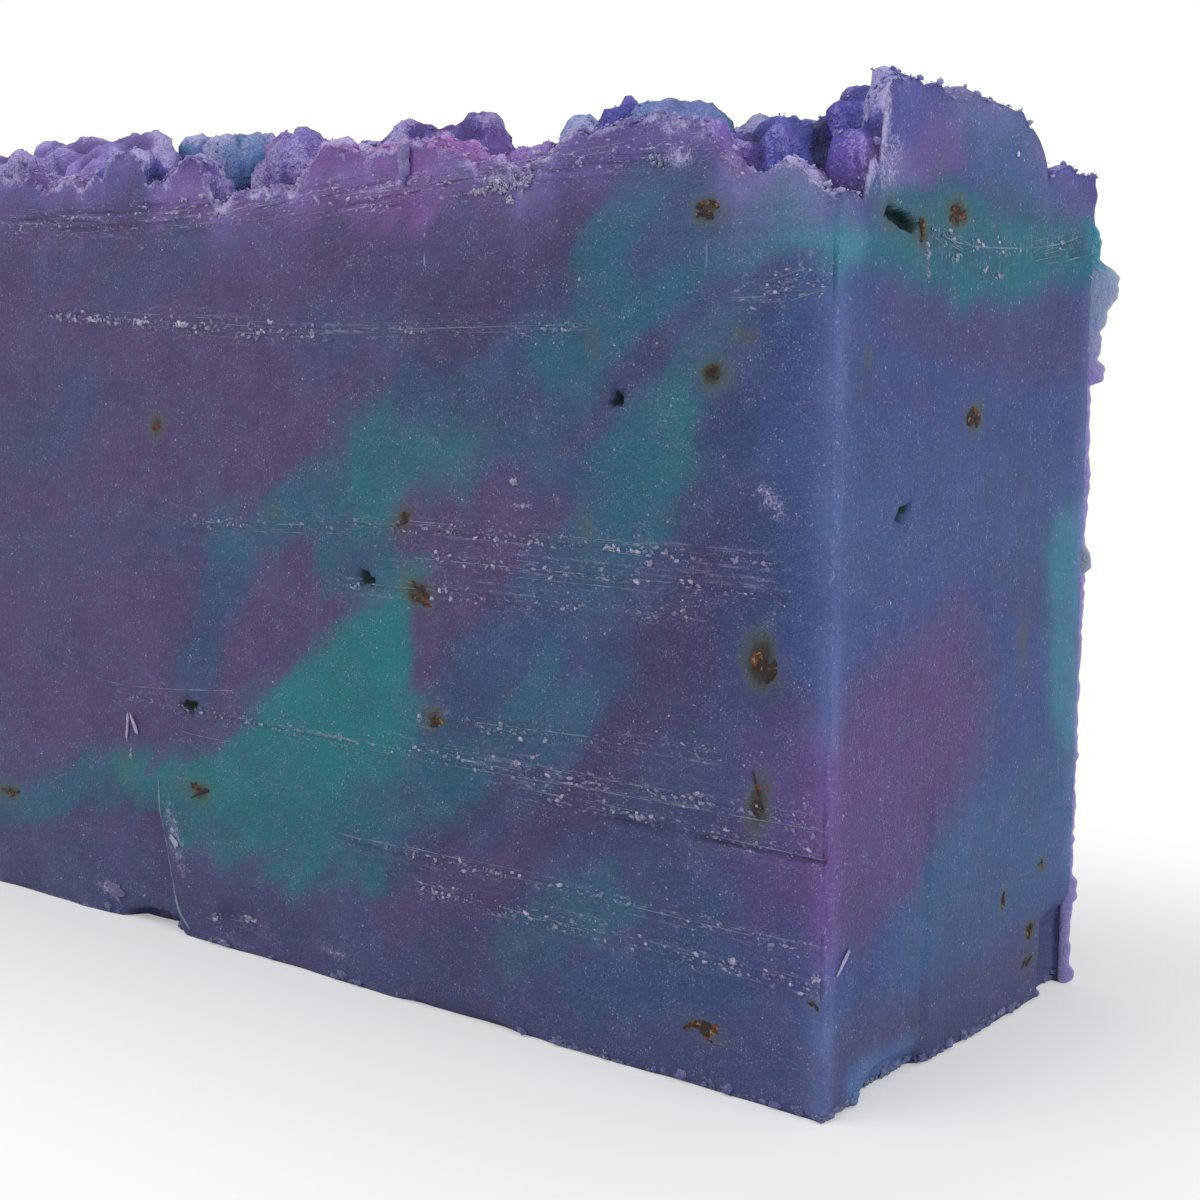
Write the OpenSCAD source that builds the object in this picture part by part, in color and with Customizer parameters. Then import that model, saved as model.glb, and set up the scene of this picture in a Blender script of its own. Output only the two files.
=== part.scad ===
// A bar of handmade soap: a slice off a loaf, with flat cut faces, a flat
// underside and the loaf's own ragged crust on top. Dried petal flecks are
// caught in the soap and show where the cutter went through them.
// The origin is the middle of the underside. +X runs along the bar, +Y across
// its thickness and +Z up, and the front face looks along -Y.

/* [Bar] */
// Length of the bar, which is the width of the loaf
bar_length = 88; // [70:1:110]
// Thickness of the slice
bar_thickness = 32; // [24:1:42]
// Height of the cut faces, up to the hollows of the crust
wall_height = 52; // [40:1:64]
// Rounding of the four upright edges
edge_rounding = 0.4; // [0.2:0.1:1]
// Height of the worn edge around the underside
foot_height = 0.5; // [0.2:0.1:1]
// Depth of the worn edge around the underside
foot_depth = 0.35; // [0.1:0.05:0.8]

/* [Crust] */
// Rise of the tallest lump above the cut faces
crest_height = 9; // [5:0.5:12]
// Squareness of the lumps, where 2 is a dome and 4 is close to a block
lump_squareness = 2.8; // [2:0.1:4]
// Rise of the low swells between the lumps
swell_height = 1.6; // [0.4:0.1:2.5]
// Width of one low swell
swell_width = 6.5; // [4:0.5:10]
// Height of the curds that lie all over the crust
curd_height = 1.3; // [0.4:0.1:2]
// Width of one curd
curd_width = 3.2; // [2:0.1:5]
// Height of the crumbs that cover the curds
crumb_height = 0.5; // [0.1:0.1:1]
// Width of one crumb
crumb_width = 2.2; // [1.5:0.1:4]
// How far the outlines of the lumps wander
wander_reach = 1.6; // [0.4:0.1:2.5]
// Width of one bend in those outlines
wander_width = 4; // [2:0.1:6]
// Width of the strip beside the cut faces where the outlines wander less
rim_width = 3; // [1:0.1:5]
// Spacing of the points of the crust
crust_pitch = 1; // [0.9:0.05:2.5]

/* [Cutter marks] */
// Depth of the step where the cutter let go, low on the left of the front
step_depth = 0.8; // [0.2:0.1:1.5]
// Height of the step
step_height = 11; // [6:0.5:16]
// Width over which the step fades out to the left
step_fade = 12; // [6:0.5:18]
// Depth of the deepest chip along the lower edges
chip_depth = 0.9; // [0.3:0.1:1.5]
// Reach of a chip along its edge, to each side
chip_reach = 4; // [2:0.1:6]
// Rise of a chip up the face
chip_rise = 2; // [1:0.1:3]

/* [Petal flecks] */
// Length of a middling fleck
fleck_length = 2; // [1:0.1:3]
// Width of a middling fleck
fleck_width = 0.8; // [0.4:0.05:1.2]
// Depth to which a fleck goes into the soap
fleck_depth = 1.2; // [0.6:0.1:2]
// Gap between a fleck and its pocket in the soap
fleck_gap = 0.05; // [0.02:0.01:0.1]
// Depth of the pits that bubbles and lost petals left
pit_depth = 1.4; // [0.6:0.1:2.5]
// Length of the slot that a whole petal left near the top of the end face
slot_length = 3.6; // [2:0.1:5]
// Width of that slot
slot_width = 0.9; // [0.5:0.1:1.5]
// Length of the scrap of petal that stayed beside the slot
scrap_length = 0.6; // [0.4:0.1:2]
// Width of that scrap
scrap_width = 1.2; // [0.4:0.1:1.5]

/* [Hidden] */

soap_colour = [0.30, 0.36, 0.55];
fleck_colour = [0.36, 0.20, 0.10];

half_length = bar_length / 2;
half_thickness = bar_thickness / 2;

// Faces by number, turning left from the front
FRONT = 0;
END = 1;
BACK = 2;
FAR_END = 3;

// Lumps of the crust: place along and across as shares of the half sizes,
// rise as a share of the crest, and reach along and across as such shares
LUMPS = [
    // along the front edge
    [-0.95, -0.80, 0.62, 0.12, 0.32],
    [-0.70, -0.94, 0.46, 0.13, 0.32],
    [-0.52, -0.98, 0.40, 0.08, 0.20],
    [-0.40, -0.92, 0.54, 0.10, 0.30],
    [-0.24, -0.94, 0.50, 0.09, 0.26],
    [-0.03, -1.00, 0.23, 0.11, 0.24],
    [0.23, -0.92, 0.53, 0.22, 0.34],
    [0.40, -0.90, 0.28, 0.09, 0.24],
    [0.55, -0.94, 0.34, 0.08, 0.24],
    [0.68, -0.94, 0.54, 0.15, 0.32],
    [0.84, -1.00, 0.26, 0.14, 0.24],
    // a broken row behind them
    [-0.92, -0.56, 0.80, 0.08, 0.26],
    [-0.13, -0.46, 0.72, 0.07, 0.20],
    [0.12, -0.50, 0.52, 0.16, 0.24],
    [0.56, -0.45, 0.50, 0.14, 0.24],
    // along the end face
    [0.99, -0.49, 0.86, 0.06, 0.24],
    [0.97, -0.76, 0.42, 0.04, 0.10],
    [0.94, 0.06, 0.75, 0.17, 0.53],
    [0.95, 0.85, 0.34, 0.18, 0.38],
    // the high ridge along the middle
    [-0.86, -0.16, 0.86, 0.15, 0.34],
    [-0.72, -0.20, 0.84, 0.12, 0.32],
    [-0.57, 0.14, 0.90, 0.11, 0.30],
    [-0.36, 0.10, 0.78, 0.12, 0.30],
    [-0.17, -0.06, 0.74, 0.10, 0.26],
    [-0.06, 0.25, 0.90, 0.15, 0.36],
    [0.15, 0.22, 0.66, 0.09, 0.26],
    [0.25, 0.25, 0.84, 0.05, 0.24],
    [0.35, 0.12, 0.95, 0.05, 0.20],
    [0.47, 0.12, 0.88, 0.12, 0.26],
    [0.66, 0.30, 0.70, 0.14, 0.34],
    [0.68, -0.30, 0.50, 0.10, 0.22],
    [0.78, -0.24, 0.64, 0.07, 0.24],
    [0.86, -0.16, 0.76, 0.06, 0.26],
    // along the back edge
    [-0.92, 0.78, 0.70, 0.14, 0.38],
    [-0.66, 0.84, 0.76, 0.16, 0.32],
    [-0.38, 0.80, 0.66, 0.14, 0.32],
    [-0.12, 0.90, 0.60, 0.14, 0.28],
    [0.14, 0.86, 0.72, 0.16, 0.32],
    [0.44, 0.74, 0.82, 0.15, 0.34],
    [0.70, 0.88, 0.60, 0.14, 0.32]
];

// Chips along the lower edges: face, place along it as a share, height of the middle in rises,
// reach along, reach up and depth, as multiples of the sizes named above
CHIPS = [
    [FRONT, -0.37, 0.0, 1.0, 0.7, 2.0],
    [FRONT, -0.14, 1.0, 0.65, 0.9, 0.6],
    [FRONT, 0.35, 0.0, 1.5, 0.45, 0.4],
    [END, -0.50, 0.0, 1.15, 1.0, 1.0],
    [END, 0.92, 1.25, 0.9, 2.0, 0.6],
    [BACK, 0.25, 0.0, 1.25, 0.6, 0.5]
];
// How steep the wall of a chip is, where 1 is an even bowl
chip_steepness = 2.5;

// Petal flecks: face, place along it and up it as shares, length and width
// as multiples of a middling fleck's, and turn
FLECKS = [
    [FRONT, 0.80, 1.00, 0.8, 1.25, 10],
    [FRONT, 0.81, 0.82, 0.5, 1.0, 40],
    [FRONT, 0.28, 0.54, 1.1, 1.5, -15],
    [FRONT, 0.89, 0.51, 0.75, 3.0, 5],
    [FRONT, 0.89, 0.35, 0.4, 3.75, -8],
    [FRONT, -0.23, 0.22, 1.3, 1.0, -4],
    [FRONT, -0.31, 0.73, 0.5, 1.0, 30],
    [FRONT, -0.76, 0.15, 1.5, 0.75, 3],
    [FRONT, 0.81, 0.07, 1.6, 1.0, -6],
    [FRONT, 0.31, 0.38, 0.6, 1.0, 20],
    [FRONT, 0.25, 0.63, 0.8, 1.0, 50],
    [END, -0.18, 1.00, 1.0, 1.25, 0],
    [END, -0.01, 0.77, 0.9, 1.6, 25],
    [END, 0.36, 0.16, 0.6, 0.75, 60],
    [END, 0.71, 0.19, 0.5, 0.75, 10],
    [END, 0.61, 0.10, 0.6, 1.25, -35],
    [END, 0.59, 0.05, 0.8, 0.75, 5],
    [BACK, -0.70, 0.30, 0.9, 1.1, 15],
    [BACK, -0.34, 0.78, 0.7, 1.25, -20],
    [BACK, 0.10, 0.45, 1.2, 1.0, 8],
    [BACK, 0.42, 0.15, 0.6, 1.1, 45],
    [BACK, 0.76, 0.66, 1.0, 1.0, -10],
    [FAR_END, -0.40, 0.62, 0.9, 1.0, 12],
    [FAR_END, 0.35, 0.25, 0.6, 1.25, -30]
];

// Pits: face, place along it and up it as shares, length, width and turn as above
PITS = [
    [FRONT, 0.17, 0.55, 0.6, 0.9, 0],
    [FRONT, 0.65, 0.79, 0.4, 0.6, 20],
    [FRONT, -0.25, 0.34, 0.65, 0.9, -10],
    [END, -0.53, 0.67, 0.7, 0.9, 15]
];

// The slot left by a whole petal, as one of the pits above
slot_along = -0.57;
slot_up = 0.99;
slot_turn = -14;
// Soap left standing between the slot and the scrap of petal
slot_wall = 0.3;

// Rows of points up the walls, as shares of the wall height
WALL_ROWS = [0.03, 0.06, 0.10, 0.15, 0.20, 0.26, 0.90];
row_heights = concat([0, foot_height], WALL_ROWS * wall_height);

// Corners of a petal fleck's outline, and how uneven that outline is
PETAL_CORNERS = 7;
petal_unevenness = 0.3;
// How far a pocket reaches out past the face that it is cut into
pocket_lead = 1;

// Places in the scatter where the swells, the worn foot and the wandering begin
SWELL_START = [3, 7];
FOOT_START = 11;
WANDER_START = [3, 8];

function blend(a, b, t) = a + (b - a) * t;
function soft(t) = t * t * (3 - 2 * t);
function clamp(t) = min(max(t, 0), 1);

// A number from 0 to 1 that looks like chance but is the same every time
function scatter(i, j) = let (s = sin(i * 57.3 + j * 191.7) * 4375.85) s - floor(s);

// A smooth field from 0 to 1 that runs through the scatter at whole numbers
function field(x, y) =
    let (
        i = floor(x),
        j = floor(y),
        u = soft(x - i),
        v = soft(y - j),
        near = blend(scatter(i, j), scatter(i + 1, j), u),
        far = blend(scatter(i, j + 1), scatter(i + 1, j + 1), u)
    )
    blend(near, far, v);

// A push from -1 to 1: a coarse field and one of half its width and strength
function wander(x, y, start) =
    let (
        coarse = field(x / wander_width + start, y / wander_width + 2 * start),
        fine = field(2 * x / wander_width + 3 * start, 2 * y / wander_width + start)
    )
    (4 * coarse + 2 * fine - 3) / 3;

// Height from 0 to 1 of the curd that lies in one cell, seen from a place
function curd_dome(cell, other, x, y) =
    let (
        away = norm([x - cell - scatter(cell, other + 5), y - other - scatter(cell + 9, other)]),
        d = away / (0.6 + 0.4 * scatter(cell + 4, other + 2))
    )
    d >= 1 ? 0 : (0.3 + 0.7 * scatter(cell + 2, other + 8)) * sqrt(1 - d * d);

// The highest of the curds that reach a place, with one curd strewn to a cell
function curds(x, y) =
    let (
        i = floor(x),
        j = floor(y)
    )
    max([for (a = [i - 1 : i + 1], b = [j - 1 : j + 1]) curd_dome(a, b, x, y)]);

// Rise of one lump: a dome with square shoulders, the same all around in shares
function lump_rise(lump, x, y) =
    let (
        u = (x / half_length - lump[0]) / lump[3],
        v = (y / half_thickness - lump[1]) / lump[4],
        d = norm([u, v]),
        k = lump_squareness
    )
    d >= 1 ? 0 : crest_height * lump[2] * pow(1 - pow(d, k), 1 / k);

// Height of the crust: the highest lump or swell at this place, with curds and crumbs.
// The lumps are read at a place that wanders, which breaks their outlines.
function crust_height(x, y) =
    let (
        from_faces = soft(clamp((half_thickness - abs(y)) / rim_width)),
        inner = from_faces * soft(clamp((half_length - abs(x)) / rim_width)),
        push = wander_reach * (0.3 + 0.7 * inner),
        along = x + push * wander(x, y, WANDER_START[0]),
        across = y + push * wander(x, y, WANDER_START[1]),
        lumps = max([for (lump = LUMPS) lump_rise(lump, along, across)]),
        swell = swell_height * field(x / swell_width + SWELL_START[0], y / swell_width + SWELL_START[1]),
        curd = curd_height * (curds(x / curd_width, y / curd_width) - 0.45),
        crumb = crumb_height * (field(x / crumb_width, y / crumb_width) - 0.5)
    )
    wall_height + max(lumps, swell) + curd + crumb;

// Depth of the step: steep on its right, where its edge leans to the left,
// and fading out to the left and at its top
function step_inset(face, along, z) =
    face != FRONT ? 0 :
    let (
        edge = -0.28 * half_length - 0.25 * z,
        behind = edge - along,
        rise = clamp(behind / 1.2),
        fade = 1 - clamp(behind / step_fade),
        top = 1 - soft(clamp((z - 0.7 * step_height) / (0.3 * step_height)))
    )
    step_depth * soft(rise) * fade * top;

// Depth of one chip: a shallow bowl that meets the edge of the face
function chip_inset(chip, face, along, z) =
    face != chip[0] ? 0 :
    let (
        u = (along - chip[1] * half_along(face)) / (chip[3] * chip_reach),
        v = (z - chip[2] * chip_rise) / (chip[4] * chip_rise),
        d = norm([u, v])
    )
    chip_depth * chip[5] * soft(clamp((1 - d) * chip_steepness));

// Depth of the worn edge, which is uneven along the bar
function foot_inset(along, z) =
    z >= foot_height ? 0 : foot_depth * (0.4 + 0.6 * field(along / crumb_width, FOOT_START));

function wall_inset(face, along, z) =
    foot_inset(along, z)
    + max(step_inset(face, along, z), max([for (chip = CHIPS) chip_inset(chip, face, along, z)]));

// Half the width of a face, and its distance from the middle of the bar
function half_along(face) = face % 2 == 0 ? half_length : half_thickness;
function stand_off(face) = face % 2 == 0 ? half_thickness : half_length;

// Lines of points across the bar: even ones, with a line close to each edge
function lattice(half) =
    let (
        inner = half - edge_rounding,
        count = round(2 * inner / crust_pitch)
    )
    concat([-half], [for (i = [0 : count]) -inner + 2 * inner * i / count], [half]);

x_lines = lattice(half_length);
y_lines = lattice(half_thickness);
x_last = len(x_lines) - 1;
y_last = len(y_lines) - 1;

// Index of a crust point, and the loop of outer ones, turning left from the
// front. Each stop of the loop holds its two line numbers and its face.
function crust_index(i, j) = i * (y_last + 1) + j;
RIM = concat(
    [for (i = [0 : x_last - 1]) [i, 0, FRONT]],
    [for (j = [0 : y_last - 1]) [x_last, j, END]],
    [for (i = [x_last : -1 : 1]) [i, y_last, BACK]],
    [for (j = [y_last : -1 : 1]) [0, j, FAR_END]]
);
rim_count = len(RIM);

// A corner's point is pulled in along both axes, to lie on the rounding
corner_pull = edge_rounding * (1 - sqrt(0.5));
function is_corner(i, j) = (i == 0 || i == x_last) && (j == 0 || j == y_last);
function plan_point(i, j) =
    let (pull = is_corner(i, j) ? corner_pull : 0)
    [x_lines[i] - sign(x_lines[i]) * pull, y_lines[j] - sign(y_lines[j]) * pull];

function crust_point(i, j) =
    let (p = plan_point(i, j))
    [p.x, p.y, crust_height(p.x, p.y)];

// A point of the wall below a stop of the rim, moved in square to its face
function wall_point(stop, z) =
    let (
        p = plan_point(stop[0], stop[1]),
        face = stop[2],
        inward = [[0, 1], [-1, 0], [0, -1], [1, 0]][face],
        along = [p.x, p.y, -p.x, -p.y][face],
        q = p + inward * wall_inset(face, along, z)
    )
    [q.x, q.y, z];

crust_points = [
    for (i = [0 : x_last], j = [0 : y_last])
        crust_point(i, j)
];
wall_points = [
    for (z = row_heights, stop = RIM)
        wall_point(stop, z)
];

// Index of a point by its row, counted from the underside, and its stop. The
// row above the last wall row is the rim of the crust itself.
function rim_index(row, stop) =
    let (s = stop % rim_count)
    row == len(row_heights)
        ? crust_index(RIM[s][0], RIM[s][1])
        : len(crust_points) + row * rim_count + s;

crust_faces = [
    for (i = [0 : x_last - 1], j = [0 : y_last - 1])
        let (
            a = crust_index(i, j),
            b = crust_index(i, j + 1),
            c = crust_index(i + 1, j + 1),
            d = crust_index(i + 1, j)
        )
        each ((i + j) % 2 == 0 ? [[a, b, c], [a, c, d]] : [[a, b, d], [b, c, d]])
];
wall_faces = [
    for (row = [0 : len(row_heights) - 1], stop = [0 : rim_count - 1])
        let (
            a = rim_index(row, stop),
            b = rim_index(row + 1, stop),
            c = rim_index(row + 1, stop + 1),
            d = rim_index(row, stop + 1)
        )
        each [[a, b, c], [a, c, d]]
];
underside = [for (stop = [0 : rim_count - 1]) rim_index(0, stop)];

// Puts a shape drawn flat onto a face, at shares along it and up it, so that
// its +Z looks out of the bar
module on_face(face, along, up) {
    rotate([0, 0, 90 * face])
        translate([along * half_along(face), -stand_off(face), up * wall_height])
            rotate([90, 0, 0])
                children();
}

// The uneven outline of a piece of petal, grown by a gap all around
function petal_outline(length, width, seed, gap) = [
    for (corner = [0 : PETAL_CORNERS - 1])
        let (
            angle = 360 * corner / PETAL_CORNERS,
            reach = 1 - petal_unevenness * scatter(corner, seed)
        )
        [(reach * length / 2 + gap) * cos(angle), (reach * width / 2 + gap) * sin(angle)]
];

// A piece of petal that ends level with the face
module petal(length, width, seed) {
    translate([0, 0, -fleck_depth])
        linear_extrude(height = fleck_depth)
            polygon(petal_outline(length, width, seed, 0));
}

// The space cut into the soap for a petal, or left by a bubble
module pocket(length, width, seed, gap, depth) {
    translate([0, 0, -depth - gap])
        linear_extrude(height = depth + gap + pocket_lead)
            polygon(petal_outline(length, width, seed, gap));
}

// Puts the scrap of petal at the end of the slot
module beside_slot() {
    on_face(END, slot_along, slot_up)
        rotate([0, 0, slot_turn])
            translate([(slot_length + scrap_length) / 2 + slot_wall, 0, 0])
                children();
}

module pockets() {
    for (i = [0 : len(FLECKS) - 1])
        let (f = FLECKS[i])
        on_face(f[0], f[1], f[2])
            rotate([0, 0, f[5]])
                pocket(f[3] * fleck_length, f[4] * fleck_width, i, fleck_gap, fleck_depth);
    for (i = [0 : len(PITS) - 1])
        let (p = PITS[i])
        on_face(p[0], p[1], p[2])
            rotate([0, 0, p[5]])
                pocket(p[3] * fleck_length, p[4] * fleck_width, -i, 0, pit_depth);
    on_face(END, slot_along, slot_up)
        rotate([0, 0, slot_turn])
            pocket(slot_length, slot_width, len(PITS), 0, pit_depth);
    beside_slot()
        pocket(scrap_length, scrap_width, len(FLECKS), fleck_gap, fleck_depth);
}

module soap_bar() {
    color(soap_colour)
        difference() {
            polyhedron(
                points = concat(crust_points, wall_points),
                faces = concat(crust_faces, wall_faces, [underside]),
                convexity = 10
            );
            pockets();
        }
}

module petal_flecks() {
    color(fleck_colour) {
        for (i = [0 : len(FLECKS) - 1])
            let (f = FLECKS[i])
            on_face(f[0], f[1], f[2])
                rotate([0, 0, f[5]])
                    petal(f[3] * fleck_length, f[4] * fleck_width, i);
        beside_slot()
            petal(scrap_length, scrap_width, len(FLECKS));
    }
}

soap_bar();
petal_flecks();
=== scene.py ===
"""Looks of a bar of handmade soap: a marbled slice of a loaf with flat cut faces and a ragged crust.

The solid frame gives the bar's size. The bar itself is one closed surface worked out here, with the
main lumps of the frame's crust and the finer curds, drag lines, chips and pits that a cutter leaves.
Crumbs, heaps of crumbs, flakes and scraps of petal are small pieces of their own on that surface.
"""

import math

import bmesh
import bpy
import numpy as np
from mathutils import Matrix, Vector


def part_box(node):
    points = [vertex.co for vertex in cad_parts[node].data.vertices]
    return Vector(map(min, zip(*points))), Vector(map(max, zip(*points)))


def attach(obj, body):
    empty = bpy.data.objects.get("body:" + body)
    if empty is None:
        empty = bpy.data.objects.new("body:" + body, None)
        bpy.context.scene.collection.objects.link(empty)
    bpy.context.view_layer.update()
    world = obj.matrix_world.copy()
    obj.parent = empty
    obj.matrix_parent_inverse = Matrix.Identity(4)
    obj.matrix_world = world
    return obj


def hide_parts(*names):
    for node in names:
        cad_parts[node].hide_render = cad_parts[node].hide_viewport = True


bl_info = {
    "name": "Handmade Soap Bar",
    "version": (1, 0, 0),
    "blender": (4, 5, 0),
    "location": "View3D > Sidebar > Soap",
    "description": "Builds a cut bar of marbled soap with its crust, crumbs, flakes and petal scraps",
    "category": "Object",
}

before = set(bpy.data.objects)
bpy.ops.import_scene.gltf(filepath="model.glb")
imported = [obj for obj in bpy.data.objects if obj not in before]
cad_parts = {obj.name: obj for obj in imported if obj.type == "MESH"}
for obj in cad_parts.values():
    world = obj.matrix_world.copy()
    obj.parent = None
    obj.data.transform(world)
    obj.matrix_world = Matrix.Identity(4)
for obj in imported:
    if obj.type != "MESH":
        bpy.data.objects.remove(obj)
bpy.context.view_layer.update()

MM = 0.001
SOAP_LOW, SOAP_HIGH = (np.array(corner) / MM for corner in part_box("soap_bar"))
HALF_LENGTH = (SOAP_HIGH[0] - SOAP_LOW[0]) / 2
HALF_THICKNESS = (SOAP_HIGH[1] - SOAP_LOW[1]) / 2

# Faces by number, turning left from the front, with the way each looks and runs
FRONT, END, BACK, FAR_END = range(4)
FACE_OUT = np.array([(0, -1), (1, 0), (0, 1), (-1, 0)], float)
FACE_ALONG = np.array([(1, 0), (0, 1), (-1, 0), (0, -1)], float)
STAND_OFF = np.array([HALF_THICKNESS, HALF_LENGTH, HALF_THICKNESS, HALF_LENGTH])
HALF_ALONG = np.array([HALF_LENGTH, HALF_THICKNESS, HALF_LENGTH, HALF_THICKNESS])

# Soap colours as they look in daylight, as red, green and blue out of 255. The edge glow and rim glow
# colours are painted light that comes through thin soap, and deep_blue also paints the shade in the
# crust's hollows.
COLOURS = {
    "plum": (76, 60, 104),
    "dark_plum": (60, 50, 92),
    "slate": (62, 68, 108),
    "slate_blue": (47, 72, 110),
    "night": (44, 56, 98),
    "blue_teal": (28, 90, 114),
    "teal": (6, 110, 116),
    "end_slate": (50, 70, 126),
    "end_plum": (84, 62, 118),
    "end_blue": (52, 88, 132),
    "chip_blue": (74, 108, 160),
    "band_violet": (64, 62, 116),
    "band_teal": (8, 100, 116),
    "foot_violet": (66, 66, 106),
    "back_teal": (44, 116, 140),
    "bright_teal": (44, 138, 156),
    # edge glow colours: painted light that comes through the thin soap at the upright edges
    "edge_glow_blue": (98, 118, 178),
    "edge_glow_magenta": (124, 92, 168),
    "violet": (84, 66, 140),
    "violet_blue": (66, 74, 154),
    "deep_blue": (54, 48, 134),
    "crust_teal": (72, 108, 156),
    "mauve": (128, 96, 166),
    "magenta": (142, 90, 168),
    "lilac": (116, 100, 166),
    # painted glow under the rim
    "rim_glow": (134, 120, 198),
    "lavender": (156, 146, 204),
    "grey_blue": (98, 112, 158),
    "ice": (146, 166, 196),
    "dry_white": (200, 192, 228),
    "film": (136, 174, 184),
    "olive": (140, 158, 128),
}

# Lumps of the crust, close to those of the frame: place along and across as shares of the half
# sizes, rise as a share of the crest, reach along and across as such shares, colour, and how crumbly
LUMPS = [
    (-0.95, -0.80, 0.62, 0.12, 0.32, "mauve", 0.6),
    (-0.70, -0.94, 0.46, 0.13, 0.32, "violet", 0.6),
    (-0.52, -0.98, 0.40, 0.08, 0.20, "mauve", 0.8),
    (-0.40, -0.92, 0.54, 0.10, 0.30, "violet_blue", 0.5),
    (-0.24, -0.94, 0.50, 0.09, 0.26, "violet", 0.6),
    (-0.03, -1.00, 0.23, 0.11, 0.24, "mauve", 0.8),
    (0.23, -0.92, 0.53, 0.22, 0.34, "magenta", 0.9),
    (0.40, -0.90, 0.28, 0.09, 0.24, "lavender", 1.0),
    (0.55, -0.94, 0.34, 0.08, 0.24, "lavender", 1.0),
    (0.68, -0.94, 0.54, 0.15, 0.32, "violet", 0.6),
    (0.84, -1.00, 0.26, 0.14, 0.24, "lavender", 0.7),
    (-0.92, -0.56, 0.80, 0.08, 0.26, "lilac", 0.5),
    (-0.13, -0.46, 0.72, 0.07, 0.20, "violet", 0.4),
    (0.12, -0.50, 0.52, 0.16, 0.24, "mauve", 0.8),
    (0.56, -0.45, 0.50, 0.14, 0.24, "mauve", 0.8),
    (1.00, -0.54, 0.86, 0.06, 0.18, "violet_blue", 0.7),
    (1.00, -0.42, 0.78, 0.06, 0.20, "violet_blue", 0.4),
    (0.99, -0.32, 0.68, 0.06, 0.20, "violet_blue", 0.4),
    (0.97, -0.76, 0.42, 0.04, 0.10, "deep_blue", 0.0),
    (0.94, 0.06, 0.75, 0.17, 0.53, "grey_blue", 0.4),
    (0.95, 0.85, 0.34, 0.18, 0.38, "violet_blue", 0.6),
    (-0.86, -0.16, 0.86, 0.15, 0.34, "lilac", 0.4),
    (-0.72, -0.20, 0.84, 0.12, 0.32, "lilac", 0.4),
    (-0.57, 0.14, 0.90, 0.11, 0.30, "crust_teal", 0.4),
    (-0.36, 0.10, 0.78, 0.12, 0.30, "violet", 0.5),
    (-0.17, -0.06, 0.74, 0.10, 0.26, "lilac", 0.5),
    (-0.06, 0.25, 0.90, 0.15, 0.36, "violet", 0.4),
    (0.15, 0.22, 0.66, 0.09, 0.26, "mauve", 0.6),
    (0.25, 0.25, 0.84, 0.05, 0.24, "crust_teal", 0.5),
    (0.35, 0.12, 0.95, 0.05, 0.20, "violet_blue", 0.3),
    (0.47, 0.12, 0.88, 0.12, 0.26, "crust_teal", 0.2),
    (0.66, 0.30, 0.70, 0.14, 0.34, "grey_blue", 0.5),
    (0.68, -0.30, 0.50, 0.10, 0.22, "violet", 0.3),
    (0.78, -0.24, 0.64, 0.07, 0.24, "violet_blue", 0.2),
    (0.86, -0.16, 0.76, 0.06, 0.26, "deep_blue", 0.2),
    (-0.92, 0.78, 0.70, 0.14, 0.38, "violet", 0.5),
    (-0.66, 0.84, 0.76, 0.16, 0.32, "lilac", 0.5),
    (-0.38, 0.80, 0.66, 0.14, 0.32, "crust_teal", 0.5),
    (-0.12, 0.90, 0.60, 0.14, 0.28, "mauve", 0.6),
    (0.14, 0.86, 0.72, 0.16, 0.32, "violet_blue", 0.5),
    (0.44, 0.74, 0.82, 0.15, 0.34, "grey_blue", 0.5),
    (0.70, 0.88, 0.60, 0.14, 0.32, "lilac", 0.6),
]

# Chips along the lower edges: face, place along it as a share, height of the middle, reach along,
# reach up, and depth, as in the frame
CHIPS = [
    (FRONT, -0.37, 0.0, 4.0, 1.4, 1.80),
    (FRONT, -0.14, 2.0, 2.6, 1.8, 0.54),
    (FRONT, 0.35, 0.0, 6.0, 0.9, 0.36),
    (END, -0.50, 0.0, 4.6, 2.0, 0.90),
    (END, 0.92, 2.5, 3.6, 4.0, 0.54),
    (BACK, 0.25, 0.0, 5.0, 1.2, 0.45),
]

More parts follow.
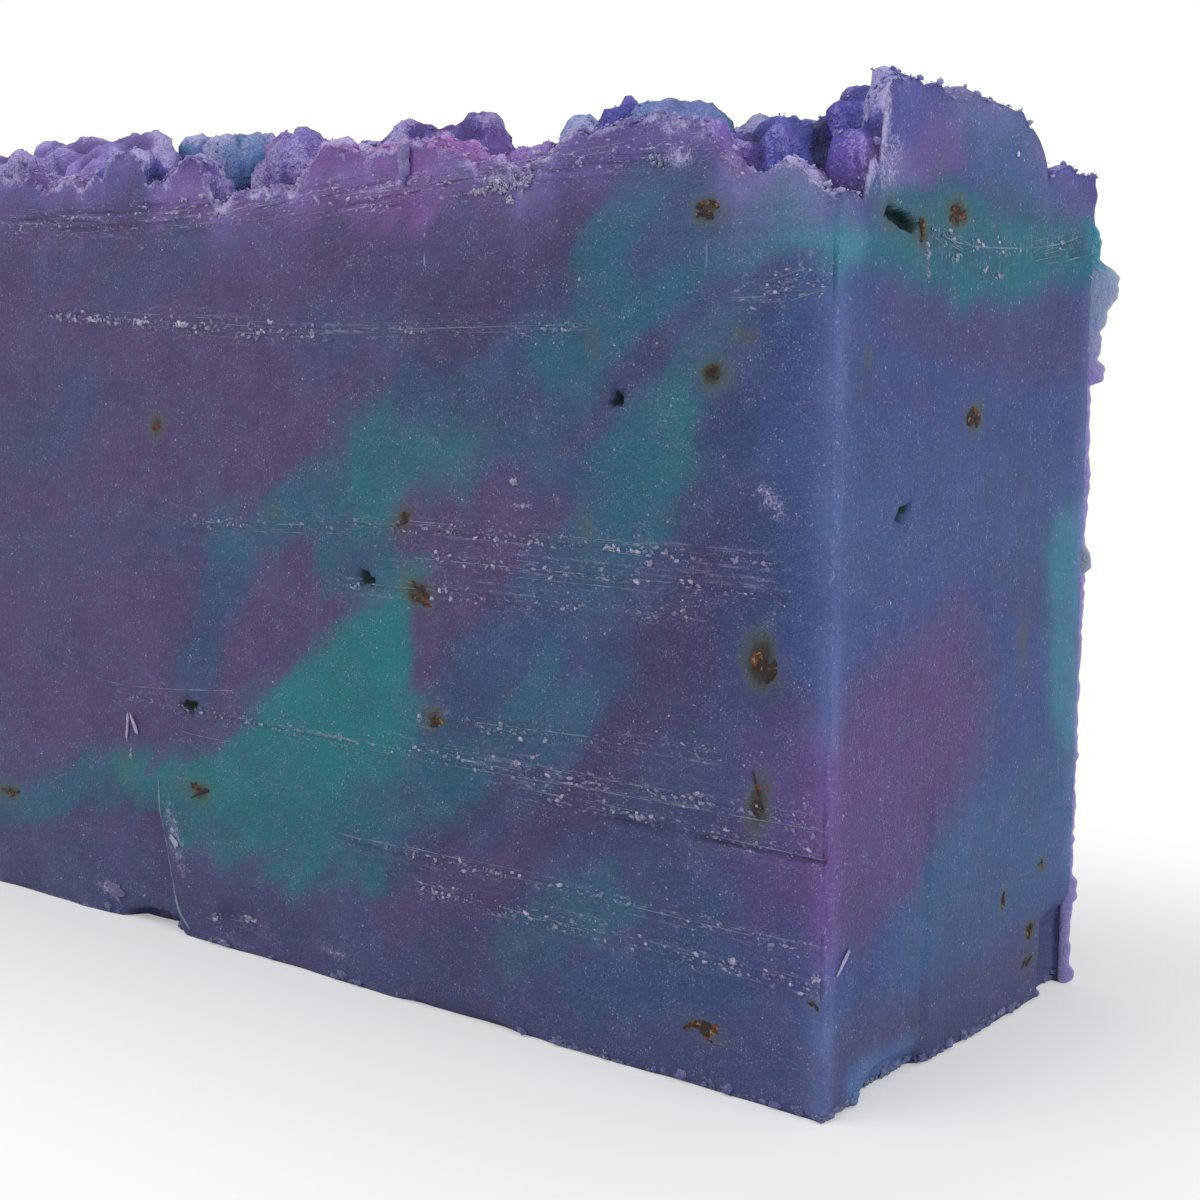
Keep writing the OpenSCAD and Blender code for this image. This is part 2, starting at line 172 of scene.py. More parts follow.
# Swirls of colour drawn through a face: face, where each starts and ends along and up it, half its
# width at the start and at the end, colour and strength. Later swirls lie over earlier ones.
SWIRLS = [
    # the front: plum on the left, slate blue on the right, slate along the foot
    (FRONT, -44, 30, 44, 30, 40, 40, "plum", 1.0),
    (FRONT, 26, 8, 38, 50, 12, 12, "slate_blue", 0.75),
    (FRONT, -40, 1, 8, 2, 6, 5, "slate", 0.8),
    (FRONT, 8, 3, 44, 3, 5, 5, "slate", 0.9),
    # paler and bluer clouds in the plum
    (FRONT, -33, 35, -23, 40, 3, 3, "slate", 0.7),
    (FRONT, -36, 27, -12, 31, 1.6, 2, "slate", 0.6),
    (FRONT, -19, 47, -10, 51, 2.4, 2.4, "slate", 0.8),
    (FRONT, -27, 49, -20, 51, 1.6, 1.6, "slate_blue", 0.4),
    (FRONT, 4, 44, 16, 50, 2.6, 3.0, "slate", 0.6),
    # the teal tail low on the left, running into the big teal body
    (FRONT, -40, 6.0, -26, 9.0, 1.0, 1.8, "blue_teal", 0.8),
    (FRONT, -27, 9.0, -17, 11.2, 2.0, 2.8, "blue_teal", 0.9),
    (FRONT, -18, 10.5, -8, 11.0, 2.2, 3.8, "teal", 0.9),
    (FRONT, -7, 10.5, 4, 14, 3.8, 6.2, "teal", 1.0),
    (FRONT, 0, 13, 8, 22, 6.0, 5.2, "teal", 1.0),
    (FRONT, 7, 21.5, 11.5, 27.5, 4.6, 3.0, "teal", 0.9),
    (FRONT, 8, 11, 15, 17, 3.2, 2.8, "blue_teal", 0.8),
    (FRONT, 14, 16, 24, 21, 3.4, 3.4, "blue_teal", 0.6),
    # the loop above it, round a plum spot
    (FRONT, -10, 20, -6.5, 28, 2.2, 2.4, "slate_blue", 0.9),
    (FRONT, -7, 30, 9, 31, 2.0, 2.4, "blue_teal", 0.7),
    (FRONT, -2, 26, 2, 30, 1.6, 2.4, "blue_teal", 0.6),
    (FRONT, -1, 32.5, 9, 36.5, 1.6, 2.8, "blue_teal", 0.8),
    (FRONT, 8, 36, 17, 40, 3.6, 3.4, "teal", 0.75),
    (FRONT, 12, 41, 20, 44, 2.2, 2.6, "slate_blue", 0.8),
    (FRONT, -3.2, 23.6, 1.0, 27.6, 2.2, 2.3, "plum", 1.0),
    # plum between the two teals
    (FRONT, 13.5, 26.5, 22, 33.5, 2.0, 2.6, "plum", 0.95),
    (FRONT, 15, 23.5, 18, 25.5, 1.6, 1.8, "dark_plum", 0.5),
    (FRONT, 15, 45, 24, 50, 2.4, 3.0, "dark_plum", 0.8),
    (FRONT, 19, 38, 23, 43, 2.2, 2.2, "slate", 0.6),
    # teal strokes of the upper right, and the long one that slants down from there
    (FRONT, 24, 41, 34, 53, 5.0, 4.0, "slate_blue", 0.6),
    (FRONT, 26, 48.5, 31, 53.5, 1.8, 1.8, "blue_teal", 0.85),
    (FRONT, 23.5, 43, 29, 47.5, 1.8, 1.6, "blue_teal", 0.85),
    (FRONT, 29, 44.5, 34, 49, 1.4, 1.4, "blue_teal", 0.8),
    (FRONT, 22.5, 38.5, 28, 43, 2.0, 1.6, "blue_teal", 0.7),
    (FRONT, 38, 45.5, 31, 37, 2.4, 2.8, "teal", 0.75),
    (FRONT, 31, 37, 24, 29, 2.8, 2.8, "blue_teal", 0.8),
    (FRONT, 24, 29, 16, 21, 2.8, 2.6, "slate_blue", 0.9),
    (FRONT, 24, 25, 16, 15, 1.4, 1.6, "blue_teal", 0.6),
    (FRONT, 27, 40, 31, 43.5, 1.0, 1.2, "dark_plum", 0.5),
    # plum sweeping up to the right
    (FRONT, 42.5, 39, 31, 26, 2.0, 2.4, "dark_plum", 0.85),
    (FRONT, 34.5, 27, 27, 18, 2.4, 2.2, "dark_plum", 0.85),
    (FRONT, 28, 18, 19, 10, 1.8, 1.8, "dark_plum", 0.9),
    (FRONT, 20, 10.5, 9, 4.8, 1.6, 1.6, "plum", 0.8),
    (FRONT, 21, 16.5, 10, 9, 0.9, 1.2, "dark_plum", 0.6),
    (FRONT, 27, 12, 18, 4.5, 1.0, 1.0, "plum", 0.5),
    (FRONT, 20, 5.5, 28, 10.5, 1.8, 2.0, "blue_teal", 0.75),
    (FRONT, 26, 4, 38, 8.5, 2.0, 2.6, "slate_blue", 0.9),
    # the right-hand margin
    (FRONT, 39, 24, 40, 32, 3.0, 3.0, "night", 0.8),
    (FRONT, 38, 40, 41, 46, 2.4, 2.6, "night", 1.0),
    (FRONT, 36, 44, 40, 50, 2.0, 2.0, "slate", 0.5),
    (FRONT, 41, 18, 42, 24, 2.0, 2.2, "slate_blue", 0.7),
    (FRONT, 41, 8, 43, 17, 2.0, 2.0, "end_plum", 0.6),
    (FRONT, 43.2, 51, 42, 47.5, 1.8, 1.8, "blue_teal", 0.9),
    (FRONT, 44, 52.5, 44, 48, 0.9, 0.7, "bright_teal", 0.6),
    # soap under the crust
    (FRONT, -12, 55.2, 13, 55.4, 2.2, 2.8, "magenta", 0.55),
    (FRONT, 20, 56, 30, 57, 2.4, 3.0, "violet", 0.5),
    (FRONT, -34, 56, -22, 56, 1.8, 2.0, "slate", 0.5),
    # the end: slate, bluer below, with a violet band and a plum patch
    (END, 0, 10, 0, 60, 24, 24, "end_slate", 1.0),
    (END, -2, 10, 16, 13, 6, 5, "end_blue", 0.8),
    (END, -16, 36, 16, 32, 4, 4, "end_blue", 0.35),
    (END, -10, 46, 18, 44.5, 2.2, 3.2, "band_violet", 0.9),
    (END, -15, 18, -4, 22, 6.0, 6.4, "end_plum", 1.0),
    (END, -12, 13, -8, 15, 3.4, 3.4, "end_plum", 0.8),
    (END, -18, 1, 18, 1, 4.5, 4.5, "foot_violet", 0.85),
    # the teal band under the crust, sagging in the middle and brightest at both ends
    (END, -17, 51.5, -2, 50, 2.6, 2.8, "band_teal", 1.0),
    (END, -2, 50, 18, 51, 3.0, 3.2, "band_teal", 1.0),
    (END, 2, 53.5, 12, 53.0, 1.6, 1.4, "slate_blue", 0.7),
    (END, -17, 53, -15.0, 50.0, 2.0, 1.4, "bright_teal", 0.7),
    (END, 17, 49, 15.6, 51, 1.0, 1.4, "bright_teal", 0.6),
    # teal that comes round from the back, and painted glow on the very edge for light that comes
    # through the thin soap there
    (END, 15.5, 20, 13, 31, 3.4, 2.6, "back_teal", 1.0),
    (END, 16.4, 18, 16.2, 33, 1.0, 1.0, "edge_glow_blue", 0.8),
    # lumps of the crust seen cut through
    (END, -9.5, 58.5, -8, 56.5, 2.6, 2.4, "violet_blue", 0.6),
    (END, -11, 53.6, -4, 55.4, 1.2, 1.6, "lilac", 0.6),
    (END, -6, 55.4, -3, 56.4, 2.6, 2.2, "end_plum", 0.5),
    # the chip low on the end: its own blue, made lighter as painted light in the shaded recess
    (END, -12, 1.0, -6, 0.6, 1.5, 1.2, "chip_blue", 1.0),
    (END, 1, 57.5, 8, 55.5, 3.4, 2.6, "end_blue", 0.8),
    (END, 12, 54.5, 16, 54, 1.4, 1.6, "band_violet", 0.7),
]

# The way that the batter was swirled: up and to the right on the front, and a little inwards
SWIRL_WAY = np.array((0.74, 0.25, 0.66))

# Bands where the cutter dragged crumbs along: face, where each starts and ends along and up the
# face, half its width, how thickly it is strewn, and how dark its lines are
DRAGS = [
    (FRONT, -25, 45.9, 3, 44.8, 0.45, 3.0, 0.3),
    (FRONT, 3, 44.8, 26, 45.4, 0.30, 0.4, 0.4),
    (FRONT, -31, 52.6, 8, 53.6, 0.9, 0.9, 1.0),
    (FRONT, 8, 53.6, 34, 56.0, 0.9, 1.2, 1.0),
    (FRONT, -10, 31.4, 10, 32.4, 0.45, 0.7, 0.3),
    (FRONT, 10, 32.4, 40, 32.2, 0.40, 1.6, 0.4),
    (FRONT, 10, 30.4, 40, 30.6, 0.40, 0.9, 0.4),
    (FRONT, 6, 28.2, 34, 28.6, 0.35, 0.9, 0.3),
    (FRONT, 12, 19.8, 36, 20.6, 0.40, 1.0, 0.3),
    (FRONT, -18, 17.6, 10, 17.2, 0.30, 0.8, 0.6),
    (FRONT, 10, 17.4, 44, 17.8, 0.55, 2.0, 0.4),
    (FRONT, 22, 16.2, 44, 15.8, 0.35, 1.2, 0.8),
    (FRONT, 5, 10.6, 44, 10.2, 0.30, 0.9, 0.5),
    (FRONT, 12, 8.2, 44, 8.0, 0.50, 1.8, 0.4),
    (FRONT, 38, 47.0, 44, 48.6, 0.9, 3.0, 0.6),
    (FRONT, -10, 2.0, -4, 2.4, 0.4, 2.0, 0.2),
    (END, -6, 51.0, 2, 49.8, 0.35, 1.6, 0.2),
    (END, 2, 49.8, 13, 51.0, 0.35, 1.0, 0.2),
    (END, -5, 49.8, 4, 48.4, 0.30, 1.2, 0.2),
    (BACK, -30, 44.5, -2, 45.2, 0.40, 1.6, 0.4),
    (BACK, 4, 46.0, 38, 45.0, 0.45, 1.0, 0.6),
    (BACK, -42, 29.8, 6, 30.8, 0.40, 1.2, 0.4),
    (BACK, -6, 17.8, 40, 16.9, 0.50, 1.6, 0.5),
    (BACK, -38, 9.4, -8, 9.0, 0.40, 1.2, 0.4),
    (FAR_END, -12, 41.0, 12, 42.0, 0.40, 1.0, 0.4),
    (FAR_END, -10, 20.0, 14, 19.2, 0.40, 1.2, 0.4),
]

# Grooves that a hard crumb ploughed: face, height, start, end, sag at the middle, half width, depth.
# The first is the deepest, and the wall has rows of points of its own along it.
GROOVES = [
    (FRONT, 15.5, 30, 47, 0.10, 0.34, 0.30),
    (FRONT, 52.9, -31, 12, -0.7, 0.30, 0.14),
    (FRONT, 53.8, -12, 22, -0.5, 0.25, 0.12),
    (FRONT, 54.6, 18, 33, -0.2, 0.25, 0.12),
    (FRONT, 20.0, -18, -4, 0.2, 0.20, 0.06),
    (FRONT, 17.6, -14, 2, 0.2, 0.20, 0.08),
    (FRONT, 31.0, -9, 6, 0.1, 0.20, 0.06),
    (END, 51.2, -7, 14, 1.5, 0.25, 0.12),
    (END, 50.2, -6, 13, 1.2, 0.35, 0.16),
]

# Petal scraps: face, place along it and up it, length, width, turn, and stain around it
PETALS = [
    (FRONT, 35.2, 52.0, 1.6, 1.0, 10, 0.7),
    (FRONT, 35.6, 42.8, 1.0, 0.8, 40, 0.9),
    (FRONT, 12.3, 28.1, 2.2, 1.2, -15, 0.8),
    (FRONT, 39.2, 26.5, 1.5, 2.4, 5, 1.0),
    (FRONT, 39.2, 18.2, 0.8, 3.0, -8, 0.8),
    (FRONT, -10.1, 11.4, 2.6, 0.8, -4, 0.7),
    (FRONT, -13.6, 38.0, 1.0, 0.8, 30, 0.8),
    (FRONT, -33.4, 7.8, 3.0, 0.6, 3, 0.7),
    (FRONT, 35.6, 3.7, 3.2, 0.8, -6, 0.4),
    (FRONT, 13.6, 19.8, 1.2, 0.8, 20, 0.7),
    (FRONT, 11.0, 32.8, 1.6, 0.8, 50, 0.7),
    (END, -2.8, 52.1, 2.0, 1.0, 0, 0.8),
    (END, -0.2, 39.9, 1.8, 1.3, 25, 0.7),
    (END, 5.8, 8.4, 1.2, 0.6, 60, 0.5),
    (END, 11.3, 9.4, 1.0, 0.6, 10, 0.6),
    (END, 9.8, 5.3, 1.2, 1.0, -35, 0.7),
    (END, 9.5, 3.1, 1.6, 0.6, 5, 0.5),
    (END, -6.8, 50.9, 0.7, 1.3, 5, 0.7),
    (FRONT, 43.3, 7.0, 0.8, 0.4, -20, 0.4),
    (BACK, -30.8, 15.6, 1.8, 0.9, 15, 0.7),
    (BACK, -15.0, 40.6, 1.4, 1.0, -20, 0.7),
    (BACK, 4.4, 23.4, 2.4, 0.8, 8, 0.8),
    (BACK, 18.5, 7.8, 1.2, 0.9, 45, 0.6),
    (BACK, 33.4, 34.3, 2.0, 0.8, -10, 0.7),
    (FAR_END, -6.4, 32.2, 1.8, 0.8, 12, 0.7),
    (FAR_END, 5.6, 13.0, 1.2, 1.0, -30, 0.7),
]

# Greatest height at which the walls' own surface is read for what leans on the rim
BELOW_RIM = 50.0

# Where the crust broke at the near end, along and across
BROKEN_CORNER = (43.0, -12.0)

# How many scraps each petal is torn into
SCRAPS = 5

# Crumbs to a millimetre of a drag band that is strewn once over
CRUMB_RATE = 3.6

# Loose flakes of soap: face, place along it and up it, how far the middle stands out, length, width,
# thickness, turn, taper towards the far end, colour and its share over the soap's own
FLAKES = [
    (FRONT, 11.5, 55.4, 0.15, 2.2, 1.2, 0.4, -95, -0.5, "grey_blue", 0.5),
    (FRONT, -13.0, 7.2, 0.12, 1.3, 0.5, 0.1, -45, 0.2, "dry_white", 0.6),
    (FRONT, -18.1, 15.3, 0.10, 2.2, 0.3, 0.2, 84, 0.4, "dry_white", 0.6),
    (FRONT, -17.3, 15.4, 0.10, 1.8, 0.3, 0.2, -68, 0.3, "dry_white", 0.6),
    (FRONT, -21.0, 1.9, 0.02, 4.2, 1.6, 0.15, -12, 0.2, "lavender", 0.2),
    (END, -14.2, 9.2, 0.05, 1.7, 0.3, 0.1, 42, 0.3, "dry_white", 0.6),
    (END, 4.6, 55.9, 0.03, 0.4, 0.3, 0.2, 30, 0.3, "dry_white", 0.9),
    (BACK, 10.0, 20.0, 0.05, 2.2, 0.8, 0.2, 10, 0.2, "lavender", 0.6),
    (BACK, -22.0, 31.0, 0.05, 1.4, 2.4, 0.2, -20, 0.2, "grey_blue", 0.6),
    (FAR_END, 4.0, 44.0, 0.05, 1.0, 1.8, 0.2, 12, 0.2, "lavender", 0.6),
]

# Heaps of crumbs: face, place along it and up it, how far its middle stands out, length, width,
# turn, number of crumbs, and how pale they are
HEAPS = [
    (FRONT, 19.6, 54.0, 0.1, 3.2, 1.4, -20, 60, 0.75),
    (FRONT, 21.8, 54.2, 0.1, 2.0, 1.0, 35, 40, 0.7),
    (FRONT, 20.3, 53.0, 0.1, 0.9, 0.9, 0, 14, 0.8),
    (FRONT, 17.6, 53.6, 0.0, 3.6, 0.4, 8, 30, 0.6),
    (FRONT, 11.4, 55.8, 0.1, 1.8, 1.2, 80, 24, 0.4),
    (FRONT, 5.2, 54.3, 0.0, 1.6, 0.9, 0, 22, 0.5),
    (FRONT, 3.4, 53.7, 0.0, 1.0, 0.7, 0, 12, 0.5),
    (FRONT, 8.7, 52.9, 0.0, 0.8, 0.6, 20, 10, 0.8),
    (FRONT, 31.6, 54.9, 0.0, 2.6, 0.9, -12, 26, 0.35),
    (FRONT, -10.0, 54.0, 0.0, 1.2, 0.5, 0, 12, 0.7),
    (FRONT, -8.0, 54.2, 0.0, 0.9, 0.4, 0, 8, 0.6),
    (FRONT, -14.2, 53.6, 0.0, 1.0, 0.5, 0, 8, 0.5),
    (FRONT, 42.6, 53.1, -0.5, 1.8, 0.5, 10, 24, 0.8),
    (FRONT, 40.6, 53.7, -0.4, 2.0, 0.4, -14, 20, 0.8),
    (FRONT, 22.2, 18.6, 0.0, 1.0, 0.5, 10, 10, 0.7),
    (FRONT, -5.4, 2.5, 0.0, 3.4, 0.4, -6, 26, 0.7),
    (FRONT, 20.6, 35.8, 0.0, 1.6, 0.2, -12, 14, 0.7),
    (FRONT, -18.0, 13.0, 0.0, 1.2, 0.4, 80, 12, 0.7),
    (FRONT, -25.0, 45.8, 0.0, 1.8, 0.3, 0, 12, 0.8),
    (FRONT, -20.5, 45.6, 0.0, 2.8, 0.5, -2, 30, 0.9),
    (FRONT, -15.0, 45.4, 0.0, 2.4, 0.4, 0, 24, 0.9),
    (FRONT, -10.5, 45.3, 0.0, 2.2, 0.4, 0, 22, 0.9),
    (FRONT, 20.8, 17.9, 0.0, 1.6, 0.5, 0, 14, 0.7),
    (FRONT, 28.2, 32.2, 0.0, 1.6, 0.4, 0, 14, 0.8),
    (FRONT, 31.0, 31.6, 0.0, 1.0, 0.3, 0, 8, 0.7),
    (FRONT, 13.6, 8.4, 0.0, 0.9, 0.5, 0, 8, 0.6),
    (FRONT, 37.4, 8.4, 0.0, 1.2, 0.4, 0, 10, 0.7),
    (FRONT, 43.3, 8.6, 0.0, 0.8, 0.8, 0, 12, 0.7),
    (END, -6.2, 49.9, 0.0, 1.3, 0.5, 85, 18, 0.5),
    (END, -6.0, 48.4, 0.0, 0.9, 0.25, 90, 10, 0.7),
    (END, -2.6, 49.6, 0.0, 0.7, 0.5, 0, 10, 0.5),
    (END, 12.6, 55.0, -0.1, 1.0, 0.6, 20, 16, 0.7),
    (END, 15.4, 48.6, 0.0, 0.8, 0.4, 20, 8, 0.8),
]

# Ragged burr along the back edge of the end: height, and how far it stands beyond the edge
BURR = [
    (0.0, 0.25), (0.9, 0.45), (1.4, 0.10), (3.0, 0.05), (5.8, 0.10), (6.2, 0.45), (7.4, 0.50),
    (7.8, 0.12), (12.0, 0.10), (17.0, 0.15), (22.0, 0.10), (28.8, 0.15), (29.2, 0.45), (30.2, 0.45),
    (30.8, 0.15), (36.0, 0.20), (41.4, 0.15), (41.7, 0.80), (42.5, 0.95), (43.2, 0.60), (45.0, 0.70),
    (46.2, 1.10), (47.2, 1.55), (48.6, 1.60), (49.3, 1.00), (49.8, 0.35), (50.4, 0.50), (51.4, 0.50),
    (51.9, 0.10), (52.6, 0.0),
]

# Fine pale ridges that the cutter drew: face, half width, and the places along and up it passes
RIDGES = [
    (END, 0.06, [(-5.7, 51.2), (-2.7, 50.4), (2.6, 50.2), (9.4, 50.5), (15.0, 51.4)]),
    (END, 0.05, [(-5.7, 50.8), (-3.0, 49.7), (0.0, 49.1), (5.0, 49.1), (10.6, 49.5), (15.6, 50.1)]),
    (END, 0.03, [(-5.0, 50.8), (0.0, 49.7), (6.0, 49.7), (12.0, 50.4)]),
    (END, 0.03, [(-4.6, 51.2), (0.6, 50.0), (7.0, 50.0), (14.0, 51.0)]),
    (END, 0.03, [(-4.0, 50.4), (0.0, 49.4), (5.0, 49.3), (14.0, 50.3)]),
    (FRONT, 0.11, [(-14.9, 12.0), (-14.6, 8.0), (-14.0, 5.0), (-12.8, 2.0), (-11.5, 0.5)]),
    (FRONT, 0.04, [(-26.0, 19.2), (-20.0, 18.4), (-14.0, 18.6), (-6.0, 19.4)]),
    (FRONT, 0.04, [(-16.0, 16.2), (-11.0, 15.6), (-6.0, 15.6)]),
    (FRONT, 0.05, [(-21.0, 17.4), (-18.6, 16.6), (-17.8, 16.0)]),
]

# Ragged burrs along the lower edges: face, where each starts and ends, and how many to a millimetre
BURRS = [
    (FRONT, 24, 44, 5.0),
    (FRONT, -22, 24, 1.0),
    (END, -16, -3, 12.0),
    (END, -3, 16, 7.0),
    (BACK, -44, 44, 1.5),
    (FAR_END, -16, 16, 2.0),
]

# Faint stains that show no petal: face, place along it and up it, reach along and up
STAINS = [
    (FRONT, 27.0, 44.5, 0.8, 1.2),
    (FRONT, 26.3, 33.0, 0.8, 1.8),
    (FRONT, 37.8, 45.0, 1.2, 0.9),
    (FRONT, -18.5, 12.4, 2.0, 1.0),
    (FRONT, -1.0, 32.6, 1.4, 0.8),
    (END, 7.3, 25.0, 1.2, 2.6),
    (END, -12.6, 43.8, 1.0, 0.8),
    (END, -10.7, 51.0, 0.7, 0.7),
    (END, -10.6, 51.9, 1.3, 1.3),
    (END, -7.6, 50.8, 1.5, 1.2),
    (END, -3.0, 52.0, 2.0, 1.3),
    (END, 0.6, 39.7, 1.0, 1.4),
    (FRONT, 36.2, 42.6, 1.4, 1.6),
    (FRONT, 35.4, 51.9, 1.8, 1.2),
    (FRONT, 39.2, 26.6, 1.8, 2.8),
    (FRONT, -10.6, 11.3, 2.4, 1.2),
    (FRONT, -18.6, 12.0, 1.6, 1.4),
]

# Smears of pale bloom: face, place along it and up it, length, width, turn, strength
SMEARS = [
    (FRONT, 39.6, 35.8, 3.4, 1.8, -35, 0.55),
    (FRONT, 21.0, 34.4, 4.2, 0.7, 10, 0.5),
    (FRONT, 24.0, 35.0, 1.2, 2.0, 30, 0.35),
    (FRONT, -13.0, 7.4, 7.6, 2.2, -73, 0.5),
    (FRONT, -21.0, 1.9, 4.4, 1.6, -12, 0.6),
    (FRONT, -22.6, 11.8, 3.4, 1.2, 8, 0.4),
    (FRONT, 33.0, 55.0, 2.8, 1.4, -10, 0.7),
    (FRONT, 20.0, 54.2, 5.0, 2.0, 0, 0.6),
    (FRONT, 10.5, 54.4, 8.0, 0.7, 12, 0.6),
    (FRONT, -27.0, 38.5, 6.0, 1.4, 30, 0.3),
    (FRONT, 4.0, 2.0, 5.0, 0.8, 4, 0.5),
    (END, -11.4, 57.0, 7.0, 1.8, 84, 0.85),
    (END, -13.0, 54.0, 4.6, 2.0, 50, 0.8),
    (END, -10.6, 54.6, 5.0, 3.0, 60, 0.55),
    (END, -6.2, 49.4, 0.8, 3.4, 0, 0.45),
    (END, 13.6, 49.0, 1.6, 0.8, 30, 0.5),
    (BACK, -12.0, 22.0, 5.0, 1.2, 20, 0.4),
]

# Pits: face, place along it and up it, length, width, turn
PITS = [
    (FRONT, 7.5, 28.6, 1.2, 0.8, 0),
    (FRONT, 28.6, 41.1, 0.9, 0.5, 20),
    (FRONT, -11.0, 17.7, 1.3, 0.7, -10),
    (END, -8.5, 34.8, 1.4, 0.6, 15),
    (END, -9.1, 51.5, 3.8, 0.9, -14),
]


def linear(colour):
    """A colour out of 255 as light: each part divided by 255 and raised by the screen's curve."""
    part = np.asarray(colour, float) / 255
    return np.where(part <= 0.04045, part / 12.92, ((part + 0.055) / 1.055) ** 2.4)


LIGHT = {name: linear(colour) for name, colour in COLOURS.items()}


def soft(t):
    """The smooth step: 3 t squared less 2 t cubed, with t held between 0 and 1."""
    t = np.clip(t, 0, 1)
    return t * t * (3 - 2 * t)


def blend(a, b, t):
    """A value t of the way from a to b."""
    return a + (b - a) * t


def scatter(i, j):
    """Numbers from 0 to 1 from two whole numbers, as in the frame: the fraction of a large sine."""
    s = np.sin(np.radians(i * 57.3 + j * 191.7)) * 4375.85
    return s - np.floor(s)


def field(x, y):
    """A smooth field from 0 to 1 through the scatter at whole numbers, as in the frame's crust."""
    i, j = np.floor(x), np.floor(y)
    u, v = soft(x - i), soft(y - j)
    near = blend(scatter(i, j), scatter(i + 1, j), u)
    far = blend(scatter(i, j + 1), scatter(i + 1, j + 1), u)
    return blend(near, far, v)


def chance(cell, seed):
    """Numbers from 0 to 1 from whole-number cells: multiply, fold the bits and multiply again."""
    factors = np.array([73856093, 19349663, 83492791])
    n = (cell * factors).sum(-1) + seed * 265443576
    n = ((n ^ (n >> 13)) * 1274126177) & 0xFFFFFFFF
    n = ((n ^ (n >> 16)) * 224682251) & 0xFFFFFFFF
    return ((n ^ (n >> 15)) & 0xFFFFFF) / 0xFFFFFF


CUBE_CORNERS = [np.array((a, b, c)) for a in (0, 1) for b in (0, 1) for c in (0, 1)]
NEIGHBOURS = [np.array((a, b, c)) for a in (-1, 0, 1) for b in (-1, 0, 1) for c in (-1, 0, 1)]


def noise(points, size, seed=0):
    """Smooth noise from -1 to 1: chance at the corners of cells of the size given, blended softly."""
    q = points / np.asarray(size, float)
    cell = np.floor(q).astype(np.int64)
    f = soft(q - cell)
    total = np.zeros(points.shape[:-1])
    for corner in CUBE_CORNERS:
        weight = np.where(corner == 1, f, 1 - f).prod(-1)
        total += weight * chance(cell + corner, seed)
    return 2 * total - 1


def rough(points, size, octaves, seed=0):
    """Layers of noise, each half as large and half as strong as the one before."""
    size = np.asarray(size, float)
    return sum(noise(points, size / 2 ** n, seed + n) / 2 ** n for n in range(octaves))


def jostle(points, size, octaves, seed):
    """A push for each place, with layered noise of its own in each of its three parts."""
    return np.stack([rough(points, size, octaves, seed + n) for n in range(3)], -1)


def column(x, z):
    """Places on an upright line at x, at the heights z, for noise to be read at."""
    return np.stack([x + 0 * z, 0 * z, z], -1)


def strokes(points, length, width, seed):
    """Layered noise drawn out along the way that the batter was swirled, in axes turned to that way."""
    side = np.cross(SWIRL_WAY, (0, 1, 0))
    axes = np.stack([SWIRL_WAY, side, np.cross(SWIRL_WAY, side)], 1)
    axes /= np.linalg.norm(axes, axis=0)
    return rough(points @ axes, (length, width, width), 3, seed)


def beads(points, size, seed=0):
    """Round beads: the height of a ball around the nearest of the points strewn one to a cell."""
    q = points / size
    cell = np.floor(q).astype(np.int64)
    nearest = np.full(points.shape[:-1], 9.0)
    for step in NEIGHBOURS:
        home = cell + step
        spot = home + np.stack([chance(home, seed + n) for n in range(3)], -1)
        nearest = np.minimum(nearest, ((q - spot) ** 2).sum(-1))
    return np.sqrt(np.clip(1 - nearest / 0.7, 0, 1))


def curds(x, y, size):
    """Curds strewn one to a cell: the highest of the domes that reach each place, from 0 to 1.

    A dome's height, its reach and its place in the cell come from the scatter of its cell.
    """
    i, j = np.floor(x / size), np.floor(y / size)
    highest = np.zeros_like(x)
    for a in (-1, 0, 1):
        for b in (-1, 0, 1):
            p, q = i + a, j + b
            across = np.hypot(x / size - p - scatter(p, q + 5), y / size - q - scatter(p + 9, q))
            reach = 0.6 + 0.4 * scatter(p + 4, q + 2)
            dome = np.sqrt(np.clip(1 - (across / reach) ** 2, 0, 1))
            highest = np.maximum(highest, (0.3 + 0.7 * scatter(p + 2, q + 8)) * dome)
    return highest


def wander(x, y, seed):
    """A push from -1 to 1 for each place: a coarse field and one of half its size and strength."""
    coarse = field(x / 4 + seed, y / 4 + 2 * seed)
    return (4 * coarse + 2 * field(x / 2 + 3 * seed, y / 2 + seed) - 3) / 3


def blurred(z, reach):
    """Each place's mean over the lines within reach of it, along and then across."""
    kernel = np.ones(2 * reach + 1)
    for axis in (0, 1):
        total = np.apply_along_axis(np.convolve, axis, z, kernel, "same")
        z = total / np.apply_along_axis(np.convolve, axis, np.ones_like(z), kernel, "same")
    return z


# Rises of the crust's fine forms, and the width of the strip at its edges where they fade
BEAD_RISE = 0.60
GRAIN_RISE = 0.45
CRACK_DEPTH = 0.45
GRIT_RISE = 0.20
FOLD_RISE = 0.45
CREASE_RISE = 0.36
FADE_WIDTH = 1.2

# The step on the front: where its foot lies as a share of the half length, its lean and its width
STEP_FOOT = -0.28
STEP_LEAN = 0.25
STEP_WIDTH = 0.9

# Depth of the pits, and of the soap's own waves and the cutter's fine lines on the faces
PIT_DEPTH = 0.9
WAVE_DEPTH = 0.10
LINE_DEPTH = 0.035
END_LINE_DEPTH = 0.025

# The crease up the end face, and the lip beside the back that broke away from it
CREASE_ALONG = -4.6
CREASE_BOTTOM, CREASE_TOP = 1, 16
CREASE_DEPTH = 0.18
LIP_ALONG = 11.3
LIP_TOP = 6.5
LIP_DEPTH = 0.5

# Distance between the faces where noise is read, so that no two of them share it
FACES_APART = 40.0
# Height below the top of the cut faces at which the rows of the walls start to follow the rim
SHOULDER_DROP = 1.8
# How strongly the rim of each face has dried pale, and how strongly the painted glow under it shows
RIM_SHARE = np.array([1.0, 0.5, 0.8, 0.8])


